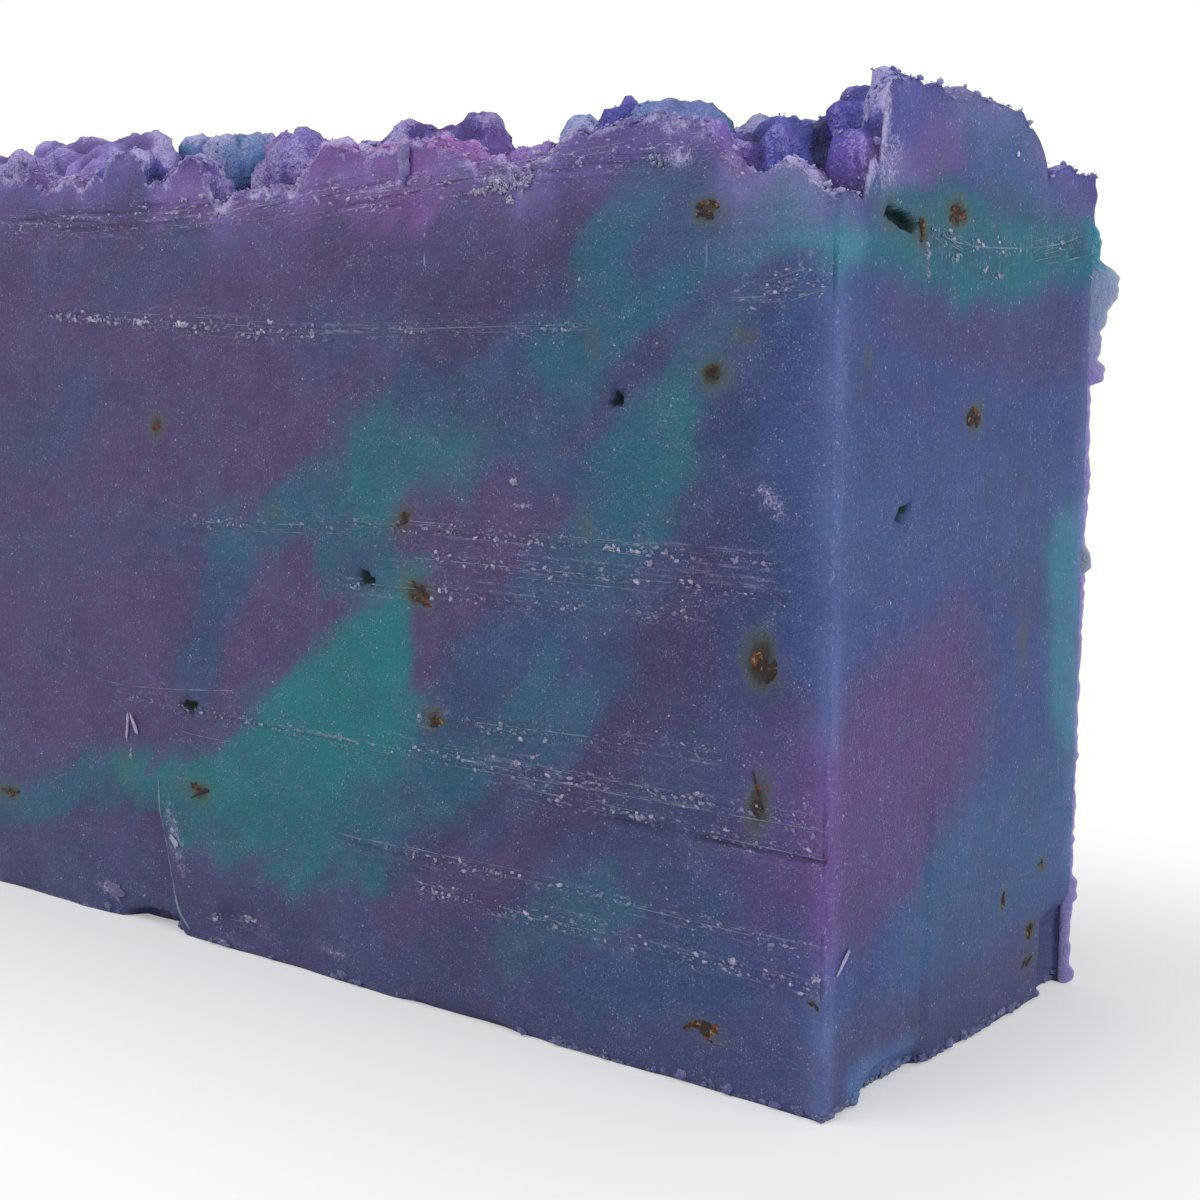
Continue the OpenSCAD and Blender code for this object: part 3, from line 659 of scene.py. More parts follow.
def lattice(half, lip, pitch):
    """Places of lines from -half to half: even ones inside, and one line a lip away from each edge."""
    inner = half - lip
    return np.concatenate([[-half], np.linspace(-inner, inner, round(2 * inner / pitch) + 1), [half]])


def lump_parts(x, y, sizes):
    """Rise of each lump at each place: a dome with square shoulders, by its reach along and across."""
    shape = (-1,) + (1,) * x.ndim
    along, across, rise, reach_x, reach_y = (
        np.array([lump[n] for lump in LUMPS]).reshape(shape) for n in range(5)
    )
    u = (x / HALF_LENGTH - along) / reach_x
    v = (y / HALF_THICKNESS - across) / reach_y
    k = sizes.squareness
    inside = np.clip(1 - np.hypot(u, v) ** k, 0, 1)
    return sizes.crest * rise * inside ** (1 / k)


def crust_height(x, y, sizes):
    """Height of the crust: the highest lump or swell, plus crumbs and curds on it.

    The lumps are read at places that wander, which breaks their outlines. Also returns tone and
    curd, the lumps' colour and how crumbly they are: means over the lumps, weighted by e to the
    rise above the highest, over half a millimetre.
    """
    inner = soft((HALF_THICKNESS - np.abs(y)) / 3) * soft((HALF_LENGTH - np.abs(x)) / 3)
    push = sizes.wander * (0.3 + 0.7 * inner)
    x_read = x + push * wander(x, y, 3)
    y_read = y + push * wander(x, y, 8)
    rises = lump_parts(x_read, y_read, sizes)
    swell = sizes.swell * field(x / sizes.swell_width + 3, y / sizes.swell_width + 7)
    crumb = sizes.crumb * (field(x / sizes.crumb_width, y / sizes.crumb_width) - 0.5)
    crumb = crumb + sizes.curd * (curds(x, y, sizes.curd_width) - 0.45)
    top = np.maximum(rises.max(0), swell)
    weight = np.exp((rises - top) / 0.5) * (rises > 0)
    floor_weight = np.exp((swell - top) / 0.5)
    total = weight.sum(0) + floor_weight
    colours = np.array([LIGHT[lump[5]] for lump in LUMPS])
    crumbly = np.array([lump[6] for lump in LUMPS])
    tone = np.tensordot(weight, colours, (0, 0)) + floor_weight[..., None] * LIGHT["violet"]
    tone = tone / total[..., None]
    curd = (np.tensordot(weight, crumbly, (0, 0)) + floor_weight * 0.9) / total
    return sizes.wall + top + crumb, tone, curd


def slope_normals(x, y, z):
    """Unit normals of a height grid: minus the slope along, minus the slope across, and one."""
    dzdx = np.gradient(z, axis=0) / np.gradient(x, axis=0)
    dzdy = np.gradient(z, axis=1) / np.gradient(y, axis=1)
    n = np.stack([-dzdx, -dzdy, np.ones_like(z)], -1)
    return n / np.linalg.norm(n, axis=-1, keepdims=True)


def crust_surface(x_lines, y_lines, sizes):
    """The crust as a grid: its height, then a push along the slope's normal for its fine forms.

    The push is a sum: beads and grains less cracks, more of them where a lump is crumbly, and grit,
    folds and creases. It fades towards the edges in the direction that would leave a cut face, so
    the rim stays in the planes of the faces. Hollows get painted shade, a blend towards deep blue.
    Returns the points, and tone, curd and relief at each.
    """
    x, y = np.meshgrid(x_lines, y_lines, indexing="ij")
    z, tone, curd = crust_height(x, y, sizes)
    points = np.stack([x, y, z], -1)
    normal = slope_normals(x, y, z)
    big = beads(points, 1.8, seed=20) - 0.5
    grains = beads(points, 0.9, seed=30) - 0.5
    grit = rough(points, 0.8, 2, seed=40)
    folds = 0.8 - 2 * np.abs(rough(points, 4.2, 3, seed=50))
    creases = 0.6 - 2 * np.abs(rough(points, (2.4, 2.4, 1.6), 2, seed=57))
    cracks = np.exp(-(noise(points, 2.6, seed=55) / 0.11) ** 2)
    cracks = cracks + 0.6 * np.exp(-(noise(points, 1.3, seed=56) / 0.14) ** 2)
    crumbled = BEAD_RISE * big + GRAIN_RISE * grains - CRACK_DEPTH * cracks
    push = (0.22 + 0.78 * curd ** 2) * crumbled
    push = push + GRIT_RISE * grit + FOLD_RISE * folds + CREASE_RISE * creases
    push = push * (1 - 0.7 * soft((x - HALF_LENGTH + 2.5) / 2))
    inside_x = soft((HALF_LENGTH - np.abs(x)) / FADE_WIDTH)
    inside_y = soft((HALF_THICKNESS - np.abs(y)) / FADE_WIDTH)
    keep = np.stack([
        inside_x * (0.25 + 0.75 * inside_y),
        inside_y * (0.15 + 0.85 * inside_x),
        np.ones_like(x),
    ], -1)
    points = points + normal * push[..., None] * keep
    relief = points[..., 2] - blurred(points[..., 2], 3)
    # Painted shade: the further a place lies below its surroundings, the more it is blended to deep
    # blue
    sunk = blurred(points[..., 2], 12) - points[..., 2]
    tone = blend(tone, LIGHT["deep_blue"], 0.55 * soft((sunk - 0.3) / 2.2)[..., None])
    return points, tone, curd, relief


def face_point(face, along, z, out):
    """A point on a face: its way along, its height, and how far out of the face it stands."""
    plan = FACE_OUT[face] * (STAND_OFF[face] + out)[..., None] + FACE_ALONG[face] * along[..., None]
    return np.concatenate([plan, z[..., None]], -1)


def turned(along, z, spot):
    """Places seen from a spot (face, along, height, length, width, turn), in its own half sizes."""
    c, s = math.cos(math.radians(spot[5])), math.sin(math.radians(spot[5]))
    da, dz = along - spot[1], z - spot[2]
    return (da * c + dz * s) / (spot[3] / 2), (dz * c - da * s) / (spot[4] / 2)


def step_out(face, along, z, sizes):
    """The step low on the left of the front, as in the frame: steep on its right and fading left."""
    behind = STEP_FOOT * HALF_LENGTH - STEP_LEAN * z - along
    fade = 1 - np.clip(behind / sizes.step_fade, 0, 1)
    top = 1 - soft((z - 0.7 * sizes.step_height) / (0.3 * sizes.step_height))
    return -sizes.step_depth * soft(behind / STEP_WIDTH) * fade * top * (face == FRONT)


def chip_out(face, along, z):
    """Chips along the lower edges: the deepest of the shallow bowls that reach this place."""
    out = np.zeros_like(z)
    for chip_face, share, height, reach, rise, depth in CHIPS:
        d = np.hypot((along - share * HALF_ALONG[chip_face]) / reach, (z - height) / rise)
        out = np.minimum(out, -depth * soft((1 - d) * 2.5) * (face == chip_face))
    return out


def band(place, start, end, fade):
    """One between start and end, falling softly to nothing over the fade outside them."""
    return soft((place - start) / fade + 1) * soft((end - place) / fade + 1)


def groove_out(face, along, z):
    """Grooves along the faces: a trough of a cosine's shape about a sagging line."""
    out = np.zeros_like(z)
    for where, height, start, end, sag, half_width, depth in GROOVES:
        t = (along - (start + end) / 2) / ((end - start) / 2)
        line = height - sag * (1 - np.clip(t * t, 0, 1))
        away = np.clip(np.abs(z - line) / half_width, 0, 1)
        run = band(along, start, end, 0.25 * (end - start))
        broken = 0.75 + 0.7 * noise(np.stack([along, line, 0 * z], -1), 2.4, seed=64)
        run = run * np.clip(broken, 0.1, 1.2)
        out -= depth * (1 + np.cos(np.pi * away)) / 2 * run * (face == where)
    return out


def pit_out(face, along, z):
    """Pits and the slot: flat-bottomed hollows whose walls rise softly across their outline."""
    out = np.zeros_like(z)
    for spot in PITS:
        u, v = turned(along, z, spot)
        depth = PIT_DEPTH * soft((1.15 - np.hypot(u, v)) / 0.35)
        out = np.minimum(out, -depth * (face == spot[0]))
    return out


def gathered(face, along, z):
    """Places drawn in towards the pits near them, so that enough points shape each pit's walls."""
    for spot in PITS:
        da, dz = along - spot[1], z - spot[2]
        reach = 0.7 + 0.5 * spot[3]
        pull = 0.72 * np.exp(-(da ** 2 + dz ** 2) / reach ** 2) * (face == spot[0])
        along = along - da * pull
        z = z - dz * pull
    return along, z


def crease_out(face, along, z):
    """Two marks on the end face: an upright crease and a thin lip that broke away beside the back."""
    run = band(z, CREASE_BOTTOM, CREASE_TOP, 3)
    crease = -CREASE_DEPTH * np.exp(-((along - CREASE_ALONG) / 0.5) ** 2) * run
    lip = -LIP_DEPTH * soft((along - LIP_ALONG) / 0.5) * soft((LIP_TOP - z) / 1.5)
    return (crease + lip) * (face == END)


def wall_out(face, along, z, sizes):
    """How far a wall stands out of its plane, from all the cutter's marks and the soap's own waves."""
    place = np.stack([along, z, FACES_APART * face], -1)
    waves = WAVE_DEPTH * rough(place, 11, 2, seed=60)
    drawn = LINE_DEPTH * rough(place, (9, 0.55, 1), 2, seed=63) * (face % 2 == 0)
    drawn = drawn + END_LINE_DEPTH * rough(place, (0.8, 9, 1), 2, seed=66) * (face % 2 == 1)
    inner = soft((HALF_ALONG[face] - np.abs(along)) / 1.5)
    marks = np.minimum(step_out(face, along, z, sizes), chip_out(face, along, z))
    marks = marks + groove_out(face, along, z) + pit_out(face, along, z) + crease_out(face, along, z)
    uneven = 0.4 + 0.6 * field(along / sizes.crumb_width, 11.0)
    foot = -sizes.foot_depth * uneven * soft(1 - z / sizes.foot_height)
    return (waves + drawn - WAVE_DEPTH) * inner + marks + foot


def rim_stops(x_count, y_count):
    """The loop of outer lattice points, turning left from the front: line numbers and face of each."""
    i = np.concatenate([np.arange(x_count - 1), np.full(y_count - 1, x_count - 1),
                        np.arange(x_count - 1, 0, -1), np.zeros(y_count - 1, int)])
    j = np.concatenate([np.zeros(x_count - 1, int), np.arange(y_count - 1),
                        np.full(x_count - 1, y_count - 1), np.arange(y_count - 1, 0, -1)])
    face = np.repeat([FRONT, END, BACK, FAR_END], [x_count - 1, y_count - 1] * 2)
    return i, j, face


def wall_rows(top, sizes):
    """Heights of the rows of wall points: even ones, and closer ones at the foot and deepest groove."""
    even = np.arange(sizes.wall_pitch, top, sizes.wall_pitch)
    foot = np.array([0, 0.25, 0.5, 0.75, 1.0, 1.25])
    groove = GROOVES[0][1] + np.array([-0.35, -0.2, -0.05, 0.1, 0.25, 0.4])
    rows = np.unique(np.concatenate([foot, even, groove]).round(3))
    rows = rows[rows < top - 0.1]
    return rows[np.concatenate([[True], np.diff(rows) > 0.13])]


def swirl_reach(a, z, start_a, start_z, end_a, end_z, start_width, end_width):
    """How far out a place lies on a swirl: its distance from the line, over the half width there."""
    da, dz = end_a - start_a, end_z - start_z
    t = np.clip(((a - start_a) * da + (z - start_z) * dz) / (da * da + dz * dz), 0, 1)
    away = np.hypot(a - start_a - t * da, z - start_z - t * dz)
    return away / blend(start_width, end_width, t)


def swirl_paint(points, colours):
    """Lays the swirls over the colours: full inside, gone outside, and less deep in the soap.

    The places are pushed about by noise first, and drawn along the way of the swirl by streaky
    noise, which feathers the swirls' soft edges.
    """
    warp = jostle(points, 6, 3, seed=70)
    fine = jostle(points, 1.6, 2, seed=80)
    inner = 0.12 + 0.88 * soft((HALF_LENGTH - np.abs(points[:, 0])) / 4)
    drawn = 1.7 * inner * strokes(points, 14, 2.2, seed=85)
    feather = 0.32 * inner * strokes(points, 8, 1.2, seed=88)
    moved = points + 0.8 * warp + 0.3 * fine + drawn[:, None] * SWIRL_WAY
    for face, start_a, start_z, end_a, end_z, start_width, end_width, colour, strength in SWIRLS:
        along = moved[:, :2] @ FACE_ALONG[face]
        reach = swirl_reach(along, moved[:, 2], start_a, start_z, end_a, end_z, start_width, end_width)
        deep = (STAND_OFF[face] - points[:, :2] @ FACE_OUT[face]) / 6
        weight = strength * (1 - soft((reach + feather - 0.55) / 0.9)) * np.exp(-deep ** 2)
        colours = blend(colours, LIGHT[colour], weight[:, None])
    return colours


def marble(points):
    """The soap's own swirls for every side: bands of four colours along a field bent by noise."""
    bent = points + 9 * jostle(points, 22, 2, seed=90)
    level = rough(bent, (26, 20, 15), 3, seed=95)
    colours = np.broadcast_to(LIGHT["plum"], points.shape).copy()
    bands = (("slate", -0.45, 0.35), ("slate_blue", 0.0, 0.30), ("teal", 0.30, 0.30))
    for colour, low, width in bands:
        colours = blend(colours, LIGHT[colour], soft((level - low) / width)[:, None])
    patch = soft((rough(bent, 14, 2, seed=97) - 0.25) / 0.35)
    colours = blend(colours, LIGHT["band_violet"], 0.7 * patch[:, None])
    colours = swirl_paint(points, colours)
    bluer = soft((rough(points, (9, 9, 5), 3, seed=98) - 0.1) / 0.8)
    pinker = soft((rough(points, (8, 8, 4), 3, seed=99) - 0.2) / 0.8)
    colours = blend(colours, LIGHT["slate_blue"], 0.30 * bluer[:, None])
    colours = blend(colours, LIGHT["dark_plum"], 0.30 * pinker[:, None])
    lighter = 1.04 + 0.08 * rough(points, 5, 3, seed=100) + 0.05 * strokes(points, 7, 0.9, seed=103)
    return colours * lighter[:, None]


def drag_amount(face, along, z):
    """How strongly the cutter dragged at a place: the strongest band that passes it, by its lines."""
    amount = np.zeros_like(z)
    for where, start_a, start_z, end_a, end_z, half_width, _, dark in DRAGS:
        line = start_z + (end_z - start_z) * np.clip((along - start_a) / (end_a - start_a), 0, 1)
        across = np.exp(-((z - line) / (half_width + 0.25)) ** 2)
        run = band(along, start_a, end_a, 2)
        amount = np.maximum(amount, (0.4 + 0.6 * dark) * across * run * (face == where))
    return amount


def stain_amount(face, along, z):
    """Brown that has seeped out of the petals: a soft bell around each, and the listed stains."""
    amount = np.zeros_like(z)
    for spot in PETALS:
        u, v = turned(along, z, spot)
        d = np.hypot(u / (1 + 1.2 / spot[3]), v / (1 + 1.2 / spot[4]))
        amount = np.maximum(amount, 0.9 * spot[6] * np.exp(-d ** 2) * (face == spot[0]))
    for where, a, h, reach, rise in STAINS:
        d = np.hypot((along - a) / reach, (z - h) / rise)
        amount = np.maximum(amount, 0.40 * np.exp(-d ** 2) * (face == where))
    return np.clip(amount, 0, 1)


def smear_amount(face, along, z):
    """How much pale bloom lies at a place: the strongest of the smears there, each a soft bell."""
    amount = np.zeros_like(z)
    for spot in SMEARS:
        u, v = turned(along, z, spot)
        amount = np.maximum(amount, spot[6] * np.exp(-np.hypot(u, v) ** 3) * (face == spot[0]))
    return amount


def grid_faces(rows, columns, wrap):
    """Quads of a grid of points numbered row by row, whose last column may wrap to its first."""
    r = np.arange(rows - 1)[:, None]
    c = np.arange(columns if wrap else columns - 1)[None, :]
    following = (c + 1) % columns
    here, above = r * columns, (r + 1) * columns
    corners = (here + c, here + following, above + following, above + c)
    return np.stack(corners, -1).reshape(-1, 4)


def new_mesh(name, points, faces, cap=None):
    """Makes an object from points in millimetres and quads, with one flat face across the cap."""
    mesh = bpy.data.meshes.new(name)
    listed = faces.tolist() + ([cap.tolist()] if cap is not None else [])
    mesh.from_pydata((points * MM).tolist(), [], listed)
    smooth = np.ones(len(listed), bool)
    if cap is not None:
        smooth[-1] = False
    mesh.polygons.foreach_set("use_smooth", smooth)
    mesh.update()
    made = bpy.data.objects.new(name, mesh)
    bpy.context.scene.collection.objects.link(made)
    return made


def give_value(made, name, values):
    """Stores one number a point on the mesh, for the material to read."""
    layer = made.data.attributes.new(name, "FLOAT", "POINT")
    layer.data.foreach_set("value", np.ascontiguousarray(values, np.float32))


def give_colour(made, name, colours):
    """Stores one colour a point on the mesh, for the material to read."""
    layer = made.data.attributes.new(name, "FLOAT_COLOR", "POINT")
    full = np.concatenate([np.clip(colours, 0, 1), np.ones((len(colours), 1))], 1)
    layer.data.foreach_set("color", np.ascontiguousarray(full, np.float32).ravel())


def give_vector(made, name, vectors):
    """Stores one vector a point on the mesh, for the material to read."""
    layer = made.data.attributes.new(name, "FLOAT_VECTOR", "POINT")
    layer.data.foreach_set("vector", np.ascontiguousarray(vectors, np.float32).ravel())


def bar_lines(sizes):
    """The lines of points along the bar and across it."""
    along = lattice(HALF_LENGTH, sizes.edge, sizes.crust_pitch)
    across = lattice(HALF_THICKNESS, sizes.edge, 0.85 * sizes.crust_pitch)
    return along, across


def wall_grid(rim, plan, face, sizes):
    """The walls as rows of points from the foot up, with the face of each and its way along it.

    A wall point is its stop's place on the rim moved down to its row. Above the shoulder height the
    rows are shares of the way up to the rim, so that they follow its ragged line. The marks then
    move the points in or out, and the corners of the plan are worn round.
    """
    shoulder = sizes.wall - SHOULDER_DROP
    low_rows = wall_rows(shoulder, sizes)
    shares = 1 - (1 - np.linspace(0, 1, sizes.rim_rows + 1)[:-1]) ** 1.3
    low = np.broadcast_to(low_rows[:, None], (len(low_rows), len(face)))
    high = shoulder + shares[:, None] * (rim[:, 2] - shoulder)
    z = np.concatenate([low, high])
    share = np.concatenate([np.zeros_like(low), np.broadcast_to(shares[:, None], high.shape)])
    place = blend(plan[None], rim[None, :, :2], (share ** 3)[..., None])
    faces_of = np.broadcast_to(face, z.shape)
    even_along = (place * FACE_ALONG[faces_of]).sum(-1)
    along, z = gathered(faces_of, even_along, z)
    place = place + FACE_ALONG[faces_of] * (along - even_along)[..., None]
    out = wall_out(faces_of, along, z, sizes)

    walls = np.concatenate([place + FACE_OUT[faces_of] * out[..., None], z[..., None]], -1)
    corner = (np.abs(plan[:, 0]) == HALF_LENGTH) & (np.abs(plan[:, 1]) == HALF_THICKNESS)
    worn = sizes.edge * (0.35 + 0.35 * noise(column(plan[:, 0], z), 1.1, seed=15))
    walls[..., :2] -= np.sign(plan) * (worn * corner)[..., None]
    return walls, faces_of, along


def build_bar(sizes):
    """The bar as one closed surface: the crust grid, the walls from its rim down, and the underside."""
    x_lines, y_lines = bar_lines(sizes)
    crust, crust_tone, crust_curd, relief = crust_surface(x_lines, y_lines, sizes)
    i, j, face = rim_stops(len(x_lines), len(y_lines))
    rim = crust[i, j]
    walls, faces_of, along = wall_grid(rim, np.stack([x_lines[i], y_lines[j]], -1), face, sizes)

    rim_along = (rim[:, :2] * FACE_ALONG[face]).sum(-1)
    rim_out = wall_out(face, rim_along, rim[:, 2], sizes)
    crust[i, j, :2] += FACE_OUT[face] * rim_out[:, None]

    points = np.concatenate([crust.reshape(-1, 3), walls.reshape(-1, 3)])
    columns = len(i)
    wall_start = len(x_lines) * len(y_lines)
    rim_number = i * len(y_lines) + j
    last = wall_start + (len(walls) - 1) * columns + np.arange(columns)
    faces = np.concatenate([
        grid_faces(len(x_lines), len(y_lines), False)[:, ::-1],
        wall_start + grid_faces(len(walls), columns, True),
        np.stack([last, np.roll(last, -1), np.roll(rim_number, -1), rim_number], -1),
    ])
    underside = wall_start + np.arange(columns)[::-1]
    made = new_mesh("soap_body", points, faces, underside)

    _, wall_tone, wall_curd = crust_height(walls[..., 0], walls[..., 1], sizes)
    tone = np.concatenate([crust_tone.reshape(-1, 3), wall_tone.reshape(-1, 3)])
    curd = np.concatenate([crust_curd.reshape(-1), wall_curd.reshape(-1)])
    depth = np.clip((rim[:, 2] - walls[..., 2]).reshape(-1), 0, None)
    wall = faces_of.reshape(-1), along.reshape(-1), walls[..., 2].reshape(-1)
    paint_bar(made, points, tone, curd, relief.reshape(-1), wall, depth)
    return made


def paint_bar(made, points, tone, curd, relief, wall, depth):
    """Stores on the bar's mesh what its material reads: colours, amounts, and places along the lines.

    The crust's points come first, as many as there are reliefs. Wall has the face, the way along it
    and the height of each of the others, and depth is how far each lies below the rim.
    """
    top = len(relief)
    crust, walls = points[:top], points[top:]
    patchy = soft(0.5 + 0.7 * rough(walls, (3, 3, 1.6), 3, seed=120))
    # These colours also carry painted glow at the rim and edges and painted shade in the crust's
    # hollows
    give_colour(made, "marble", bar_colours(points, tone, relief, wall[0], depth, patchy))
    amounts = {
        "drag": drag_amount(*wall),
        "stain": stain_amount(*wall),
        # painted shade in the pits
        "pit_shade": np.clip(-pit_out(*wall) / 0.5, 0, 1),
        "shadow": np.clip(-groove_out(*wall) / 0.3, 0, 1),
    }
    for name, amount in amounts.items():
        give_value(made, name, np.concatenate([np.zeros(top), amount]))
    pale = crust_pale(crust, curd[:top], relief), wall_pale(walls, curd[top:], wall, depth, patchy)
    give_value(made, "pale", np.concatenate(pale))
    give_value(made, "crust", np.concatenate([np.ones(top), np.exp(-depth / 0.3)]))
    give_vector(made, "flow", np.concatenate([crust, wall_flow(*wall)]))


def bar_colours(points, tone, relief, face, depth, patchy):
    """Colours of the bar: the marbling, then the lumps' own tones on the crust, painted glow under the
    rim and painted glow along the upright edges.

    The tones reach a little way down the walls, where they die away by e to the minus depth. They carry
    painted shade in the hollows of the crust and painted light on what stands out, and are pinker in
    patches.
    """
    top = len(relief)
    tone = tone * (1 + 0.25 * rough(points, 3.0, 2, seed=110))[:, None]
    # Painted shade and light: the crust's tone darker in its hollows and lighter on what stands out
    tone[:top] *= np.clip(0.95 + 1.3 * relief, 0.30, 1.6)[:, None]
    pinker = soft((rough(points, 5, 2, seed=114) - 0.1) / 0.5)[:, None]
    tone = blend(tone, LIGHT["magenta"], 0.25 * pinker)
    share = np.concatenate([np.ones(top), np.exp(-depth / 1.4) * 0.6])
    colours = blend(marble(points), tone, share[:, None])
    # Painted glow under the rim, standing in for light that comes through the thin soap there
    rim_glow = np.exp(-(depth / 3.0) ** 1.3) * RIM_SHARE[face] * (0.30 + 0.60 * patchy)
    colours[top:] = blend(colours[top:], LIGHT["rim_glow"], 0.62 * rim_glow[:, None])
    return edge_glow(points, colours)


def crust_pale(points, curd, relief):
    """How pale the crust is: frost, partly a painted highlight, on what stands out, more on crumbly
    lumps, and a dry rim.
    """
    to_side = HALF_THICKNESS - np.abs(points[:, 1])
    to_edge = np.minimum(to_side, 2.5 * (HALF_LENGTH - np.abs(points[:, 0])))
    # Pale frost and painted highlight on what stands out
    frost_and_highlight = soft(0.08 + 1.8 * relief) * (1 + 0.7 * noise(points, 4, seed=112))
    return (0.38 + 0.62 * curd) * (0.10 + 0.80 * frost_and_highlight) + 0.30 * np.exp(-(to_edge / 0.9) ** 2)


def wall_pale(points, curd, wall, depth, patchy):
    """How pale the walls are: the most of the ragged rim, a painted highlight along the upright edges,
    the foot and smears.
    """
    face, along, z = wall
    speckled = np.clip(0.8 + 0.9 * noise(points, 0.9, seed=124), 0.1, 1.5)
    rim = np.exp(-(depth / (0.2 + 1.1 * patchy)) ** 1.3) * RIM_SHARE[face] * (0.5 + 0.5 * curd)
    # Painted highlight along the upright edges
    edge = np.exp(-((HALF_ALONG[face] - np.abs(along)) / 0.4) ** 2) * (0.05 + 0.35 * patchy)
    foot = np.exp(-(z / 0.3) ** 2) * 0.6 * patchy
    return np.maximum.reduce([rim * speckled, edge, foot, smear_amount(*wall)])


def wall_flow(face, along, z):
    """Wall places by the cutter's lines, which are level on the long faces, upright on the ends."""
    place = np.stack([along, FACES_APART * face, z - bend_of_lines(face, along, z)], -1)
    ends = face % 2 == 1
    place[ends] = place[ends][:, [2, 1, 0]]
    return place


def bend_of_lines(face, along, z):
    """How high the cutter's lines run above level: they rise to the right below the front's crust."""
    rising = 3.4 * soft((along + 20) / 60) + 0.5 * np.sin(along / 9)
    return rising * soft((z - 48) / 4) * (face == FRONT)


def edge_glow(points, colours):
    """Painted glow along the upright edges, standing in for light that comes through the thin soap
    there: magenta low on the near one.
    """
    x, y, z = points.T
    for side, end, strength in ((-1, 1, 0.8), (1, 1, 0.7), (-1, -1, 0.4), (1, -1, 0.4)):
        away = np.hypot(x - end * HALF_LENGTH, y - side * HALF_THICKNESS)
        glow = strength * np.exp(-(away / 1.1) ** 1.3) * (0.8 + 0.4 * noise(points, 2.5, seed=130))
        glow = glow * (1 - soft((z - 50) / 2))
        low = band(z, 11, 20, 4)[:, None] * (side == -1)
        colour = blend(LIGHT["edge_glow_blue"], LIGHT["edge_glow_magenta"], low)
        colour = blend(colour, LIGHT["ice"], 0.5 * (side == 1))
        colour = blend(colour, LIGHT["bright_teal"], soft((z - 46.5) / 3)[:, None])
        colours = blend(colours, colour, np.clip(glow, 0, 1)[:, None])
    return colours


class Socket:
    """A shader value that can be used in sums. Each sum adds one Math node to the material."""

    def __init__(self, material, socket):
        self.material = material
        self.socket = socket

    def _math(self, operation, *values):
        """One Math node on the values, which may be numbers or sockets."""
        return self.material.node("ShaderNodeMath", {"operation": operation}, dict(enumerate(values)))

    def __add__(self, other):
        return self._math("ADD", self, other)

    def __sub__(self, other):
        return self._math("SUBTRACT", self, other)

    def __mul__(self, other):
        return self._math("MULTIPLY", self, other)

    def __truediv__(self, other):
        return self._math("DIVIDE", self, other)

    def __rsub__(self, other):
        return self._math("SUBTRACT", other, self)

    __radd__ = __add__
    __rmul__ = __mul__

    def clamped(self):
        """The value held between 0 and 1."""
        return self.material.node("ShaderNodeClamp", {}, {"Value": self})

    def ramp(self, low, high):
        """Nothing below low, one above high, and a smooth step between them."""
        return self.material.node(
            "ShaderNodeMapRange",
            {"interpolation_type": "SMOOTHSTEP"},
            {"Value": self, "From Min": low, "From Max": high},
        )


class Finish:
    """A material or world in the making: one method adds any node, sets it and links its inputs."""

    def __init__(self, owner):
        owner.use_nodes = True
        self.owner = owner
        self.tree = owner.node_tree
        self.tree.nodes.clear()

    def node(self, kind, settings=None, inputs=None, output=0):
        """Adds a node: its settings first, then a value or link for each input. Gives the output."""
        made = self.tree.nodes.new(kind)
        for key, value in (settings or {}).items():
            setattr(made, key, value)
        for key, value in (inputs or {}).items():
            if isinstance(value, Socket):
                self.tree.links.new(value.socket, made.inputs[key])
            else:
                made.inputs[key].default_value = value
        return Socket(self, made.outputs[output]) if made.outputs else None

    def attribute(self, name, output="Fac"):
        """A number or colour stored on the mesh."""
        settings = {"attribute_type": "GEOMETRY", "attribute_name": name}
        return self.node("ShaderNodeAttribute", settings, output=output)

    def place(self, scale=(1, 1, 1)):
        """The point on the object in millimetres, stretched by the scale."""
        here = self.node("ShaderNodeTexCoord", output="Object")
        return self.stretched(here, [part / MM for part in scale])

    def turned_place(self, turn, scale):
        """The point on the object in millimetres, turned in the plane of the front, then stretched."""
        inputs = {"Vector": self.place(), "Rotation": (0, math.radians(turn), 0)}
        return self.stretched(self.node("ShaderNodeMapping", {}, inputs), scale)

    def stretched(self, place, scale):
        """A place with its parts multiplied by the scale."""
        return self.node("ShaderNodeMapping", {}, {"Vector": place, "Scale": scale})

    def mottle(self, place, scale, detail=3.0, roughness=0.55):
        """Cloudy noise from 0 to 1."""
        inputs = {"Vector": place, "Scale": scale, "Detail": detail, "Roughness": roughness}
        return self.node("ShaderNodeTexNoise", {}, inputs)

    def mix(self, factor, first, second):
        """A colour between two colours, by the Mix node's sockets for colours."""
        inputs = {0: factor, 6: first, 7: second}
        return self.node("ShaderNodeMix", {"data_type": "RGBA"}, inputs, output=2)

    def specks(self, place, scale, radius, share):
        """Round dots: points nearer than the radius to a strewn one, for a share of the cells."""
        cells = {"Vector": place, "Scale": scale}
        distance = self.node("ShaderNodeTexVoronoi", {}, cells, "Distance")
        colour = Socket(self, distance.socket.node.outputs["Color"])
        pick = self.node("ShaderNodeSeparateColor", {}, {0: colour})
        return (1 - distance.ramp(0.5 * radius, radius)) * pick.ramp(1 - share, 1.0)

    def bump(self, height, distance):
        """A normal bent by a height, where 1 is the distance in millimetres."""
        inputs = {"Height": height, "Distance": distance * MM, "Strength": 1.0}
        return self.node("ShaderNodeBump", {}, inputs)

    def surface(self, inputs):
        """The finished material, from the sockets of a principled surface."""
        shader = self.node("ShaderNodeBsdfPrincipled", {}, inputs)
        self.node("ShaderNodeOutputMaterial", {}, {"Surface": shader})
        return self.owner


def rgba(colour):
    """A palette colour, or a tint as it looks in daylight, as the four numbers that a socket takes."""
    light = LIGHT[colour] if isinstance(colour, str) else linear(255 * np.array(colour))
    return (*(float(part) for part in light), 1.0)


